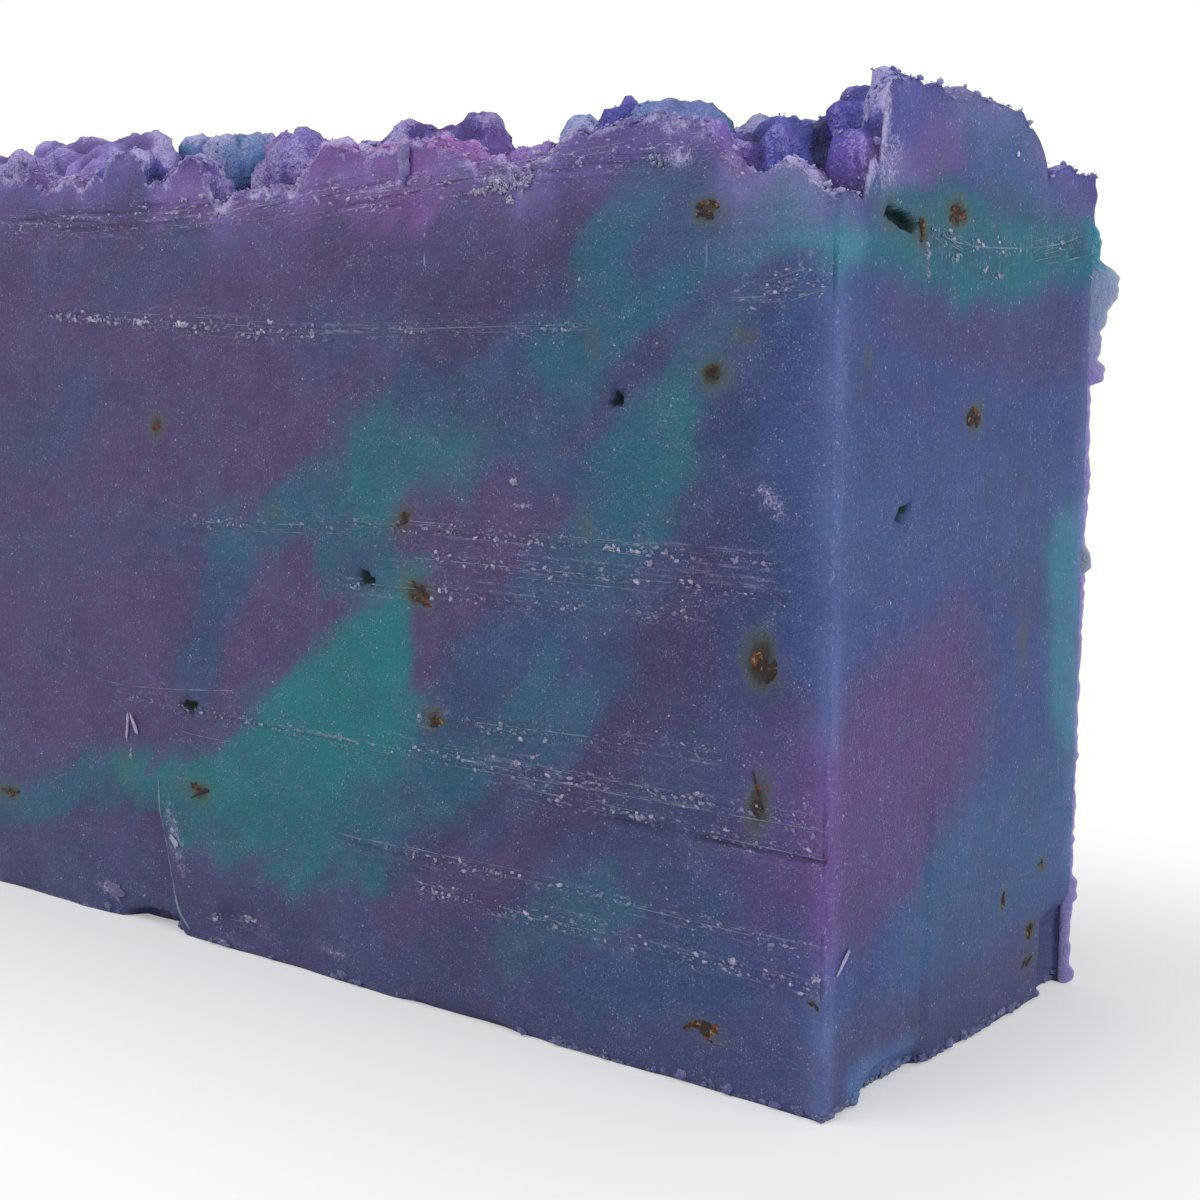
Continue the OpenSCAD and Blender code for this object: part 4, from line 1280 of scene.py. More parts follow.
def marbled_soap(tints):
    """The bar's finish: marbling from the mesh, with specks, dragged crumbs, stains, pale rims, a
    painted highlight on the upright edges, and painted shade in the pits and grooves.
    """
    m = Finish(bpy.data.materials.new("marbled_soap"))
    here = m.place()
    crust = m.attribute("crust")
    cloud = m.mottle(here, 0.35, 4.0, 0.6)
    grain = m.mottle(here, 2.6, 2.0, 0.6)
    fine = m.mottle(here, 7.0, 1.0, 0.6)
    grit = m.mottle(here, 10.0, 1.0, 0.7)
    patch = m.mottle(here, 0.8, 4.0, 0.65)
    drawn = m.mottle(m.turned_place(-42, (0.10, 0.9, 0.9)), 1.0, 4.0, 0.65)
    colour = m.attribute("marble", "Color")
    colour = m.mix(cloud.ramp(0.45, 0.80) * 0.10, colour, rgba(tints.pale))
    colour = m.mix(grain.ramp(0.50, 0.80) * 0.12, colour, rgba(tints.bloom))
    colour = m.mix(drawn.ramp(0.52, 0.70) * 0.16, colour, rgba("blue_teal"))
    colour = m.mix((1 - drawn.ramp(0.32, 0.48)) * 0.16, colour, rgba("plum"))
    colour = m.mix((1 - grit.ramp(0.30, 0.50)) * 0.26, colour, rgba(tints.shade))
    bloom = grit.ramp(0.50, 0.74) * (0.18 + patch.ramp(0.42, 0.68) * 0.34)
    colour = m.mix(bloom, colour, rgba(tints.bloom))

    flow = m.attribute("flow", "Vector")
    long_lines = m.mottle(m.stretched(flow, (0.07, 1, 3.4)), 1.0, 4.0, 0.7)
    broken = m.mottle(m.stretched(flow, (0.5, 1, 2.4)), 1.0, 2.0, 0.6)
    clots = m.mottle(m.stretched(flow, (1.6, 1, 4.5)), 1.0, 3.0, 0.7)
    drag = m.attribute("drag")
    streak = (long_lines.ramp(0.54, 0.64) * broken.ramp(0.42, 0.60) * drag).clamped()
    clot = clots.ramp(0.56, 0.64) * broken.ramp(0.42, 0.56) * drag
    hairs = long_lines.ramp(0.60, 0.72) * broken.ramp(0.50, 0.70) * (1 - crust) * 0.12
    dark_line = (1 - long_lines.ramp(0.38, 0.48)) * drag * 0.75
    colour = m.mix(dark_line, colour, rgba(tints.shade))
    colour = m.mix(m.attribute("shadow") * 0.40, colour, rgba(tints.shade))

    dots = m.specks(m.stretched(flow, (0.8, 1, 1.1)), 1.3, 0.12, 0.75)
    tiny = m.specks(here, 2.8, 0.20, 0.50)
    dust = m.specks(here, 5.5, 0.34, 0.60)
    strewn = patch.ramp(0.40, 0.70)
    speck = dots * (0.30 + strewn * 0.6) + tiny * (0.20 + strewn * 0.6)
    speck = (speck + dust * (0.08 + strewn * 0.45)).clamped()
    colour = m.mix(speck * (1 - crust * 0.5), colour, rgba(tints.speck))
    colour = m.mix((streak * 0.6 + hairs).clamped(), colour, rgba(tints.speck))
    colour = m.mix(clot.clamped() * 0.75, colour, rgba(tints.rim))

    pale = m.attribute("pale")
    ragged = (pale + ((grain - 0.5) * 1.0 + (fine - 0.5) * 0.8) * (1 - crust * 0.2)).ramp(0.30, 0.95)
    colour = m.mix(ragged * 0.75, colour, rgba(tints.rim))

    stain = m.attribute("stain")
    seep = (stain + ((grain - 0.5) * 0.35 + (patch - 0.5) * 0.7) * stain.ramp(0.0, 0.3)).clamped()
    colour = m.mix(seep.ramp(0.02, 0.60) * 0.5, colour, rgba(tints.halo))
    colour = m.mix(seep.ramp(0.30, 0.7) * 0.6, colour, rgba(tints.stain))
    colour = m.mix(seep.ramp(0.40, 0.8) * 0.7, colour, rgba(tints.petal))
    # Painted shade at the bottom of the pits
    pit_shade = m.attribute("pit_shade")
    colour = m.mix(pit_shade.ramp(0.15, 0.6) * 0.97, colour, rgba(tints.pit))

    crag = m.mottle(here, 1.3, 3.0, 0.65)
    height = long_lines * (0.02 + drag * 0.12) * (1 - crust) + (streak + ragged * grain) * 0.06
    height = height + fine * 0.05 + grain * 0.07 + grit * 0.02 + crag * crust * 0.38
    return m.surface({
        "Base Color": colour,
        "Roughness": 0.42 + grain * 0.16 + ragged * 0.2 + crust * 0.10,
        "Specular IOR Level": 0.25,
        "Normal": m.bump(height, 1.0),
    })


def pale_soap(tints):
    """Crumbs and flakes: soap dried pale, tinted here and there by the colour it came from."""
    m = Finish(bpy.data.materials.new("pale_soap"))
    here = m.place()
    cloud = m.mottle(here, 0.5, 2.0, 0.5)
    grain = m.mottle(here, 3.0, 3.0, 0.6)
    tint = m.attribute("marble", "Color")
    crystals = m.mottle(here, 8.0, 2.0, 0.6)
    colour = m.mix(cloud.ramp(0.45, 0.75) * 0.15, tint, rgba(tints.rim))
    colour = m.mix(grain.ramp(0.50, 0.72) * 0.25, colour, rgba(tints.speck))
    colour = m.mix(crystals.ramp(0.58, 0.72) * 0.5, colour, rgba(tints.rim))
    return m.surface({
        "Base Color": colour,
        "Roughness": 0.5 + grain * 0.2,
        "IOR": 1.47,
        "Subsurface Weight": 0.4,
        "Subsurface Radius": (1.0, 0.9, 1.2),
        "Subsurface Scale": 0.8 * MM,
        "Normal": m.bump(grain + crystals * 0.5, 0.15),
    })


def dry_petal(tints):
    """Dried petal: dark brown, with rusty streaks and a few straw-coloured spots."""
    m = Finish(bpy.data.materials.new("dry_petal"))
    here = m.place()
    streaks = m.mottle(m.place((1.6, 1.6, 3.0)), 1.0, 3.0, 0.6)
    spots = m.mottle(here, 2.6, 2.0, 0.6)
    colour = m.mix(streaks.ramp(0.50, 0.70), rgba(tints.petal), rgba(tints.rust))
    colour = m.mix(spots.ramp(0.60, 0.70) * 0.7, colour, rgba(tints.straw))
    return m.surface({
        "Base Color": colour,
        "Roughness": 0.62 + spots * 0.2,
        "IOR": 1.45,
        "Normal": m.bump(streaks * 1.5, 0.08),
    })


def outward(face, along, z, sizes):
    """How far the bar's own surface stands out of its plane at these places on a face."""
    return wall_out(np.asarray(face), np.asarray(along, float), np.asarray(z, float), sizes)


def pebbles(centres, axes, halves, seed, rings=5, sides=7, unevenness=0.25):
    """Small closed lumps: balls of rings and sides, stretched along their own axes and knocked uneven.

    A point of a ball lies at the cosine and sine of its way round, times the sine of its way down,
    with the cosine of its way down as the third part. Noise then moves it in or out.
    """
    down = np.linspace(0, np.pi, rings)[:, None]
    around = np.linspace(0, 2 * np.pi, sides, endpoint=False)[None, :]
    ball = np.stack([np.sin(down) * np.cos(around), np.sin(down) * np.sin(around),
                     np.cos(down) + 0 * around], -1)
    apart = 10.0 * np.arange(len(centres))[:, None, None, None]
    knock = 1 + unevenness * noise(ball[None] + apart, 0.8, seed)
    local = ball[None] * knock[..., None] * halves[:, None, None, :]
    points = np.einsum("nrsk,nkc->nrsc", local, axes) + centres[:, None, None, :]
    quads = grid_faces(rings, sides, True)[:, ::-1]
    every = quads[None] + (np.arange(len(centres)) * rings * sides)[:, None, None]
    return points.reshape(-1, 3), every.reshape(-1, 4)


def face_axes(face, turn):
    """For each place on a face: the ways along, up and out of it, the first two turned in the plane."""
    c, s = np.cos(np.radians(turn)), np.sin(np.radians(turn))
    along = np.concatenate([FACE_ALONG[face], np.zeros((len(face), 1))], 1)
    up = np.broadcast_to((0.0, 0.0, 1.0), along.shape)
    out = np.concatenate([FACE_OUT[face], np.zeros((len(face), 1))], 1)
    first = along * c[:, None] + up * s[:, None]
    second = up * c[:, None] - along * s[:, None]
    return np.stack([first, second, out], 1)


def weld(made):
    """Merges the points that lie at one place, such as a ball's poles, and turns the faces outwards."""
    mesh = bmesh.new()
    mesh.from_mesh(made.data)
    bmesh.ops.remove_doubles(mesh, verts=mesh.verts, dist=0.0005 * MM)
    bmesh.ops.recalc_face_normals(mesh, faces=mesh.faces)
    mesh.to_mesh(made.data)
    mesh.free()


def material_of(make):
    """The material that a function makes, made the first time that it is asked for."""
    return bpy.data.materials.get(make.__name__) or make(bpy.context.scene.soap_tints)


def finish_piece(made, make, slot_name, *nodes):
    """Gives a piece its material, rides it on the bar and hides the frame's parts that it stands for;
    slot_name is not used.
    """
    made.data.materials.append(material_of(make))
    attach(made, "root")
    if nodes:
        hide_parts(*nodes)


def loose_piece(name, points, faces, colours):
    """Makes a piece of crumbs or flakes, with the colours that its material reads."""
    made = new_mesh(name, points, faces)
    give_colour(made, "marble", colours)
    weld(made)
    finish_piece(made, pale_soap, "soap")


def joined(grids):
    """The points and quads of several grids, each closed round its section, as one list of each."""
    points = [grid.reshape(-1, 3) for grid in grids]
    starts = np.cumsum([0] + [len(part) for part in points])
    quads = [start + grid_faces(*grid.shape[:2], True) for start, grid in zip(starts, grids)]
    return np.concatenate(points), np.concatenate(quads)


def shifted(spots, shift, turn):
    """Places moved from their spots by a shift along and across the turn of each."""
    c, s = np.cos(np.radians(turn)), np.sin(np.radians(turn))
    along = spots[:, 1] + shift[:, 0] * c - shift[:, 1] * s
    return along, spots[:, 2] + shift[:, 0] * s + shift[:, 1] * c


def measure(name, description, default):
    """A length in millimetres, or a plain number, with its default."""
    return bpy.props.FloatProperty(name=name, description=description, default=default)


class SoapSizes(bpy.types.PropertyGroup):
    """Sizes of the bar in millimetres, and how many curds and rows it has."""

    wall: measure("Wall height", "Height of the cut faces", 52.0)
    crest: measure("Crest", "Rise of the tallest lump", 9.0)
    squareness: measure("Squareness", "Squareness of the lumps", 2.8)
    swell: measure("Swell", "Rise of the low swells", 1.6)
    swell_width: measure("Swell width", "Width of a swell", 6.5)
    crumb: measure("Crumb", "Height of the coarse crumbs", 0.5)
    curd: measure("Curd", "Height of the curds on the crust", 1.3)
    curd_width: measure("Curd width", "Spacing of the curds", 3.2)
    crumb_width: measure("Crumb width", "Width of a coarse crumb", 2.2)
    wander: measure("Wander", "Push on the lumps' outlines", 1.6)
    edge: measure("Edge", "Rounding of the upright edges", 0.4)
    foot_height: measure("Foot height", "Height of the worn foot", 0.5)
    foot_depth: measure("Foot depth", "Depth of the worn foot", 0.35)
    step_depth: measure("Step depth", "Depth of the step", 0.8)
    step_height: measure("Step height", "Height of the step", 11.0)
    step_fade: measure("Step fade", "Width of the step's fade", 12.0)
    crust_pitch: measure("Crust pitch", "Spacing of points", 0.40)
    wall_pitch: measure("Wall pitch", "Spacing of wall rows", 0.66)
    curd_count: bpy.props.IntProperty(name="Curds", description="Number of curds", default=5000)
    rim_rows: bpy.props.IntProperty(name="Rim rows", description="Rows under the rim", default=36)


def tint(name, description, colour):
    """A colour property with its default given out of 255."""
    return bpy.props.FloatVectorProperty(
        name=name, description=description, subtype="COLOR", size=3, min=0, max=1,
        default=[part / 255 for part in colour],
    )


class SoapTints(bpy.types.PropertyGroup):
    """Tints of the finishes, as they look in daylight."""

    pale: tint("Pale", "Cloudy paler soap", (120, 128, 170))
    bloom: tint("Bloom", "Powdery bloom", (128, 122, 164))
    shade: tint("Shade", "Dark drag lines", (46, 42, 70))
    speck: tint("Speck", "Specks and dragged crumbs", (176, 186, 214))
    rim: tint("Rim", "Dried pale rims", (196, 188, 230))
    halo: tint("Halo", "Olive halo around a petal", (84, 96, 62))
    stain: tint("Stain", "Brown seeped from petals", (62, 62, 44))
    petal: tint("Petal", "Dried petal", (40, 30, 26))
    rust: tint("Rust", "Rusty petal", (112, 62, 38))
    straw: tint("Straw", "Straw-coloured petal", (168, 124, 70))
    # pit: painted shade at the bottom of a pit
    pit: tint("Pit", "Bottom of a pit", (14, 44, 44))


class SOAP_OT_bar(bpy.types.Operator):
    """Build the bar: crust, walls and underside in one closed surface"""

    bl_idname = "soap.bar"
    bl_label = "Soap body"

    def execute(self, context):
        made = build_bar(context.scene.soap_sizes)
        finish_piece(made, marbled_soap, "soap", "soap_bar")
        return {"FINISHED"}


class SOAP_OT_petals(bpy.types.Operator):
    """Build the petal scraps, each a thin uneven lens set in its face"""

    bl_idname = "soap.petals"
    bl_label = "Petal scraps"

    def execute(self, context):
        sizes = context.scene.soap_sizes
        rng = np.random.default_rng(5)
        spots = np.repeat(np.array([spot[:6] for spot in PETALS], float), SCRAPS, 0)
        count = len(spots)
        face = spots[:, 0].astype(int)
        shift = rng.uniform(-0.34, 0.34, (count, 2)) * spots[:, 3:5]
        along, up = shifted(spots, shift, spots[:, 5])
        out = outward(face, along, up, sizes)
        centres = face_point(face, along, up, out - 0.05)
        share = rng.uniform(0.15, 0.36, (count, 2))
        halves = np.concatenate([share * spots[:, 3:5], np.full((count, 1), 0.10)], 1)
        axes = face_axes(face, spots[:, 5] + rng.normal(0, 25, count))
        points, faces = pebbles(centres, axes, halves, 4, rings=9, sides=14, unevenness=0.7)
        made = new_mesh("petal_scraps", points, faces)
        weld(made)
        finish_piece(made, dry_petal, "petal", "petal_flecks")
        return {"FINISHED"}


def strew(rng):
    """Places for crumbs along the drag bands: clumps along each, strewn a little across it."""
    parts = []
    for where, start_a, start_z, end_a, end_z, half_width, density, _ in DRAGS:
        count = int(CRUMB_RATE * density * (end_a - start_a))
        clumps = rng.random(max(2, count // 7))
        t = (clumps[rng.integers(0, len(clumps), count)] + rng.normal(0, 0.04, count)) % 1
        across = half_width * rng.normal(0, 0.6, count)
        z = blend(start_z, end_z, t) + across
        parts.append(np.stack([np.full(count, where), blend(start_a, end_a, t), z], -1))
    spots = np.concatenate(parts)
    face = spots[:, 0].astype(int)
    inside = np.abs(spots[:, 1]) < HALF_ALONG[face] - 0.4
    return face[inside], spots[inside, 1], spots[inside, 2]


class SOAP_OT_crumbs(bpy.types.Operator):
    """Strew small flat crumbs along the bands where the cutter dragged them"""

    bl_idname = "soap.crumbs"
    bl_label = "Dragged crumbs"

    def execute(self, context):
        sizes = context.scene.soap_sizes
        rng = np.random.default_rng(7)
        face, along, z = strew(rng)
        count = len(face)
        length = 0.04 + 0.24 * rng.random(count) ** 4
        height = np.minimum(length * rng.uniform(0.4, 1.1, count), 0.13)
        halves = np.stack([length, height, np.minimum(0.5 * height, 0.07)], -1)
        centres = face_point(face, along, z, outward(face, along, z, sizes) + 0.01)
        axes = face_axes(face, rng.normal(0, 25, count))
        points, faces = pebbles(centres, axes, halves, 8, unevenness=0.7)
        paler = np.repeat(0.1 + 0.7 * rng.random(count) ** 2, len(points) // count)
        colours = blend(marble(points), LIGHT["dry_white"], paler[:, None])
        loose_piece("dragged_crumbs", points, faces, colours)
        return {"FINISHED"}


class SOAP_OT_heaps(bpy.types.Operator):
    """Heap crumbs where the cutter piled them up, large ones in the middle and small ones outside"""

    bl_idname = "soap.heaps"
    bl_label = "Crumb heaps"

    def execute(self, context):
        sizes = context.scene.soap_sizes
        rng = np.random.default_rng(31)
        spots = np.repeat(np.array(HEAPS, float), [heap[7] for heap in HEAPS], 0)
        count = len(spots)
        face = spots[:, 0].astype(int)
        away = rng.normal(0, 0.38, (count, 2))
        along, up = shifted(spots, 0.5 * away * spots[:, 4:6], spots[:, 6])
        along = np.clip(along, -HALF_ALONG[face], HALF_ALONG[face])
        out = outward(face, along, np.minimum(up, BELOW_RIM), sizes)
        out = out + spots[:, 3] * rng.uniform(0.3, 1.2, count)
        size = (0.06 + 0.17 * rng.random(count) ** 2) * np.exp(-(away ** 2).sum(1))
        halves = size[:, None] * rng.uniform((0.7, 0.6, 0.5), (1.6, 1.1, 0.9), (count, 3))
        axes = face_axes(face, rng.uniform(0, 180, count))
        points, faces = pebbles(face_point(face, along, up, out), axes, halves, 6, unevenness=0.8)
        paler = np.repeat(spots[:, 8] * rng.uniform(0.4, 1.1, count), len(points) // count)
        colours = blend(marble(points), LIGHT["dry_white"], paler[:, None])
        loose_piece("crumb_heaps", points, faces, colours)
        return {"FINISHED"}


def curds_on_crust(sizes, rng):
    """Curds picked out over the crust: most on crumbly lumps, at the rim and where the end broke."""
    crust, tone, curd, _ = crust_surface(*bar_lines(sizes), sizes)
    lean = slope_normals(crust[..., 0], crust[..., 1], crust[..., 2]).reshape(-1, 3)
    crust, tone, curd = crust.reshape(-1, 3), tone.reshape(-1, 3), curd.reshape(-1)
    to_edge = np.minimum(HALF_THICKNESS - np.abs(crust[:, 1]), HALF_LENGTH - np.abs(crust[:, 0]))
    broken = np.exp(-np.hypot(*(crust[:, :2] - BROKEN_CORNER).T) / 1.5)
    rim = np.exp(-(to_edge / 0.6) ** 2) * (1 - 0.75 * soft((crust[:, 0] - 41) / 2))
    weight = (0.1 + curd) ** 2 * (rim + 0.05 + 1.5 * broken)
    picked = rng.choice(len(crust), sizes.curd_count, replace=False, p=weight / weight.sum())
    side = np.cross(lean[picked], [0.3, 1.0, 0.1])
    side /= np.linalg.norm(side, axis=-1, keepdims=True)
    axes = np.stack([side, np.cross(lean[picked], side), lean[picked]], 1)
    half = 0.05 + 0.24 * rng.random(len(picked)) ** 4
    halves = half[:, None] * rng.uniform((0.7, 0.6, 0.4), (1.5, 1.2, 0.9), (len(picked), 3))
    centres = crust[picked] + 0.05 * lean[picked]
    points, faces = pebbles(centres, axes, halves, 3, rings=4, sides=5, unevenness=0.45)
    paler = rng.uniform(0.0, 0.45, len(picked))
    colours = blend(tone[picked], LIGHT["dry_white"], paler[:, None])
    return points, faces, np.repeat(colours, len(points) // len(picked), 0)


def burrs_on_edges(sizes, rng):
    """Burrs along the lower edges: uneven pebbles drawn out along them, and none below the floor."""
    parts = []
    for where, start, end, density in BURRS:
        count = int(density * (end - start))
        parts.append(np.stack([np.full(count, where), rng.uniform(start, end, count)], -1))
    spots = np.concatenate(parts)
    face = spots[:, 0].astype(int)
    count = len(face)
    height = 0.7 * rng.random(count) ** 2
    half = 0.08 + 0.4 * rng.random(count) ** 3
    halves = half[:, None] * rng.uniform((0.8, 0.5, 0.4), (1.8, 1.0, 0.8), (count, 3))
    z = np.maximum(height, halves[:, 1] * 1.3)
    centres = face_point(face, spots[:, 1], z, outward(face, spots[:, 1], z, sizes) - 0.03)
    axes = face_axes(face, rng.normal(0, 14, count))
    points, faces = pebbles(centres, axes, halves, 5, rings=4, sides=5, unevenness=0.45)
    points[:, 2] = np.maximum(points[:, 2], 0)
    return points, faces, blend(marble(points), LIGHT["grey_blue"], 0.35)


class SOAP_OT_curds(bpy.types.Operator):
    """Strew curds over the crust, thickest along its rims, and burrs along the lower edges"""

    bl_idname = "soap.curds"
    bl_label = "Curds and burrs"

    def execute(self, context):
        sizes = context.scene.soap_sizes
        rng = np.random.default_rng(11)
        loose_piece("crust_curds", *curds_on_crust(sizes, rng))
        loose_piece("edge_burrs", *burrs_on_edges(sizes, rng))
        return {"FINISHED"}


def flake_shape(number, length, width, thickness, taper, sides=36):
    """A thin ragged leaf in its own axes, as rows of points from the middle of its back to its front.

    Its outline is a square-shouldered oval that narrows or widens along it, moved in and out by
    noise. A row at share s of the outline stands at half the thickness times the root of 1 less s
    squared. The whole leaf is bent by broad noise.
    """
    around = np.linspace(0, 2 * np.pi, sides, endpoint=False)
    round_places = np.stack([np.cos(around), np.sin(around), np.full(sides, 3.0 * number)], -1)
    reach = 1 + 0.35 * noise(round_places, 0.9, seed=140) + 0.30 * noise(round_places, 0.3, seed=141)
    u = reach * np.sign(np.cos(around)) * np.abs(np.cos(around)) ** 0.8
    v = reach * np.sign(np.sin(around)) * np.abs(np.sin(around)) ** 0.8 * (1 + taper * u)
    share = np.array([0, 0.35, 0.7, 0.93, 1, 0.93, 0.7, 0.35, 0])[:, None]
    side = np.array([-1, -1, -1, -1, 0, 1, 1, 1, 1])[:, None]
    flat = np.stack([share * u * length / 2, share * v * width / 2, 0 * share * u], -1)
    lift = 0.5 + 0.35 * noise(flat + (0, 0, 5.0 * number), 0.7, seed=142)
    bend = 0.15 * noise(flat + (9, 0, 5.0 * number), 1.6, seed=143) * min(1, length / 3)
    flat[..., 2] = side * np.sqrt(1 - share ** 2) * thickness * lift + bend
    return flat


def placed_flake(number, row, sizes):
    """A listed flake's grid of points, turned and set on its face, and nowhere below the floor."""
    face, along, up, out, length, width, thickness, turn, taper = row[:9]
    where = np.array([face])
    near = np.clip(along, -HALF_ALONG[face], HALF_ALONG[face])
    wall = outward(where, [near], [min(up, BELOW_RIM)], sizes)
    centre = face_point(where, np.array([along], float), np.array([up], float), wall + out)
    shape = flake_shape(number, length, width, thickness, taper)
    points = shape @ face_axes(where, np.array([turn]))[0] + centre
    points[..., 2] = np.maximum(points[..., 2], 0)
    return points


def back_burr():
    """The thin ragged sheet along the back edge of the end, as rows of points round its section.

    A section is a flat oval from inside the bar to the burr's reach, which follows the listed
    heights and is frayed by noise. It leans out at the back, as soap does that the cutter pushed.
    """
    z = np.arange(0.02, 52.6, 0.12)
    fray = noise(column(0, z), 0.45, seed=160) + noise(column(9, z), 1.3, seed=161)
    reach = np.interp(z, *np.array(BURR).T)
    reach = np.clip(reach * (1 + 0.12 * fray) + 0.07 * fray, 0, None)
    around = np.linspace(0, 2 * np.pi, 14, endpoint=False)
    out = -0.7 + (reach + 0.7)[:, None] * (1 + np.cos(around)) / 2
    half = 0.16 + 0.06 * noise(column(5, z), 0.8, seed=162)
    level = half[:, None] * np.sin(around) * (1 - 0.6 * soft(out / 1.5))
    taper = band(z, 0.3, 51.9, 0.5)[:, None]
    x = HALF_LENGTH + taper * (0.88 * out - 0.3 * level) - 0.3 * (1 - taper)
    y = HALF_THICKNESS - 0.35 + taper * (0.40 * out + level) - 0.2 * (1 - taper)
    return np.stack([x, y, np.broadcast_to(z[:, None], x.shape)], -1)


def burr_colours(points):
    """Colours of the back burr: pale, icier above, teal at the top, and olive where a petal lay."""
    height = points[:, 2]
    colour = blend(LIGHT["lavender"], LIGHT["ice"], soft((height - 42) / 4)[:, None])
    colour = blend(colour, LIGHT["bright_teal"], soft((height - 48.5) / 1.5)[:, None])
    colour = blend(colour, LIGHT["olive"], 0.7 * band(height, 29.2, 30.4, 0.5)[:, None])
    return blend(marble(points), colour, 0.75)


class SOAP_OT_flakes(bpy.types.Operator):
    """Build the loose flakes that the cutter left on the faces, and the burr along the back edge"""

    bl_idname = "soap.flakes"
    bl_label = "Loose flakes"

    def execute(self, context):
        sizes = context.scene.soap_sizes
        grids = [placed_flake(number, row, sizes) for number, row in enumerate(FLAKES)]
        colours = [
            blend(marble(grid.reshape(-1, 3)), LIGHT[row[9]], row[10])
            for grid, row in zip(grids, FLAKES)
        ]
        burr = back_burr()
        colours.append(burr_colours(burr.reshape(-1, 3)))
        loose_piece("loose_flakes", *joined(grids + [burr]), np.concatenate(colours))
        return {"FINISHED"}


def smooth_line(knots, spacing):
    """Places at even steps of the spacing along a line drawn smoothly through its knots."""
    knots = np.array(knots, float)
    before = np.concatenate([[2 * knots[0] - knots[1]], knots, [2 * knots[-1] - knots[-2]]])
    t = np.linspace(0, len(knots) - 1, 40 * len(knots))
    n = np.minimum(t.astype(int), len(knots) - 2)
    f = (t - n)[:, None]
    p0, p1, p2, p3 = before[n], before[n + 1], before[n + 2], before[n + 3]
    line = 0.5 * (2 * p1 + (p2 - p0) * f + (2 * p0 - 5 * p1 + 4 * p2 - p3) * f ** 2
                  + (3 * p1 - p0 - 3 * p2 + p3) * f ** 3)
    travelled = np.concatenate([[0], np.cumsum(np.hypot(*np.diff(line, axis=0).T))])
    steps = np.linspace(0, travelled[-1], max(4, int(travelled[-1] / spacing)))
    return np.stack([np.interp(steps, travelled, line[:, k]) for k in (0, 1)], -1)


def ridge_tube(face, line, half_width, sizes, seed, sides=6):
    """A thin ragged tube along a line on a face. Noise thins and swells it along the way."""
    place = np.concatenate([line, np.full((len(line), 1), 7.0 * seed)], 1)
    uneven = 0.7 + 0.7 * noise(place, 1.6, seed=150) + 0.5 * noise(place, 0.35, seed=151)
    half = half_width * np.clip(uneven, 0.15, 1.5)
    half[[0, -1]] = 0
    along = np.gradient(line, axis=0)
    along /= np.linalg.norm(along, axis=1, keepdims=True)
    across = np.stack([-along[:, 1], along[:, 0]], -1)
    around = np.linspace(0, 2 * np.pi, sides, endpoint=False)
    spots = line[:, None] + across[:, None] * (half[:, None] * np.cos(around))[..., None]
    faces_of = np.full(len(line), face)
    wall = outward(faces_of, line[:, 0], line[:, 1], sizes)
    out = wall[:, None] + 0.6 * half[:, None] * np.sin(around) - 0.01
    return face_point(np.full(out.shape, face), spots[..., 0], spots[..., 1], out)


def hair_lines(rng):
    """Short fine lines along the drag bands, more of them where a band is dark."""
    lines = []
    for face, start_a, start_z, end_a, end_z, half_width, _, dark in DRAGS:
        rise = (end_z - start_z) / (end_a - start_a)
        for _ in range(3 + int(4 * dark)):
            a, b = np.sort(rng.uniform(start_a, end_a, 2))
            if b - a > 2:
                offset = half_width * rng.normal(0, 0.8)
                knots = [(t, start_z + rise * (t - start_a) + offset) for t in (a, (a + b) / 2, b)]
                lines.append((face, smooth_line(knots, 0.4), rng.uniform(0.015, 0.045)))
    return lines


class SOAP_OT_ridges(bpy.types.Operator):
    """Draw the fine pale ridges: the listed ones, and hair lines along the drag bands"""

    bl_idname = "soap.ridges"
    bl_label = "Fine ridges"

    def execute(self, context):
        sizes = context.scene.soap_sizes
        lines = [(face, smooth_line(knots, 0.3), half_width) for face, half_width, knots in RIDGES]
        lines += hair_lines(np.random.default_rng(21))
        tubes = [ridge_tube(*line, sizes, number) for number, line in enumerate(lines)]
        points, faces = joined(tubes)
        loose_piece("fine_ridges", points, faces, blend(marble(points), LIGHT["film"], 0.45))
        return {"FINISHED"}


class SOAP_OT_stage(bpy.types.Operator):
    """Set the pale floor, the soft light, the white backdrop and the camera"""

    bl_idname = "soap.stage"
    bl_label = "Stage"

    def execute(self, context):
        make_floor()
        make_world(context.scene)
        for light in LIGHTS:
            make_light(*light)
        make_camera(context.scene)
        context.scene.view_settings.view_transform = "Standard"
        return {"FINISHED"}


# Area lights: name, place in metres, what it looks at, size and power
LIGHTS = [
    ("key_light", (-0.25, -0.45, 0.55), (0, 0, 0.03), 0.5, 1.6),
    ("side_light", (0.55, -0.05, 0.40), (0, 0, 0.03), 0.4, 1.4),
]
FLOOR_REACH = 1.5
WORLD_LEVEL = 0.62
# The camera: its place in millimetres, its turn to the left of +Y, its tilt down, its roll and lens
CAMERA_PLACE = (102.5, -110.2, 46.5)
CAMERA_TURN = 38.52
CAMERA_DOWN = 8.25
CAMERA_ROLL = 0.10
CAMERA_LENS = 60.33


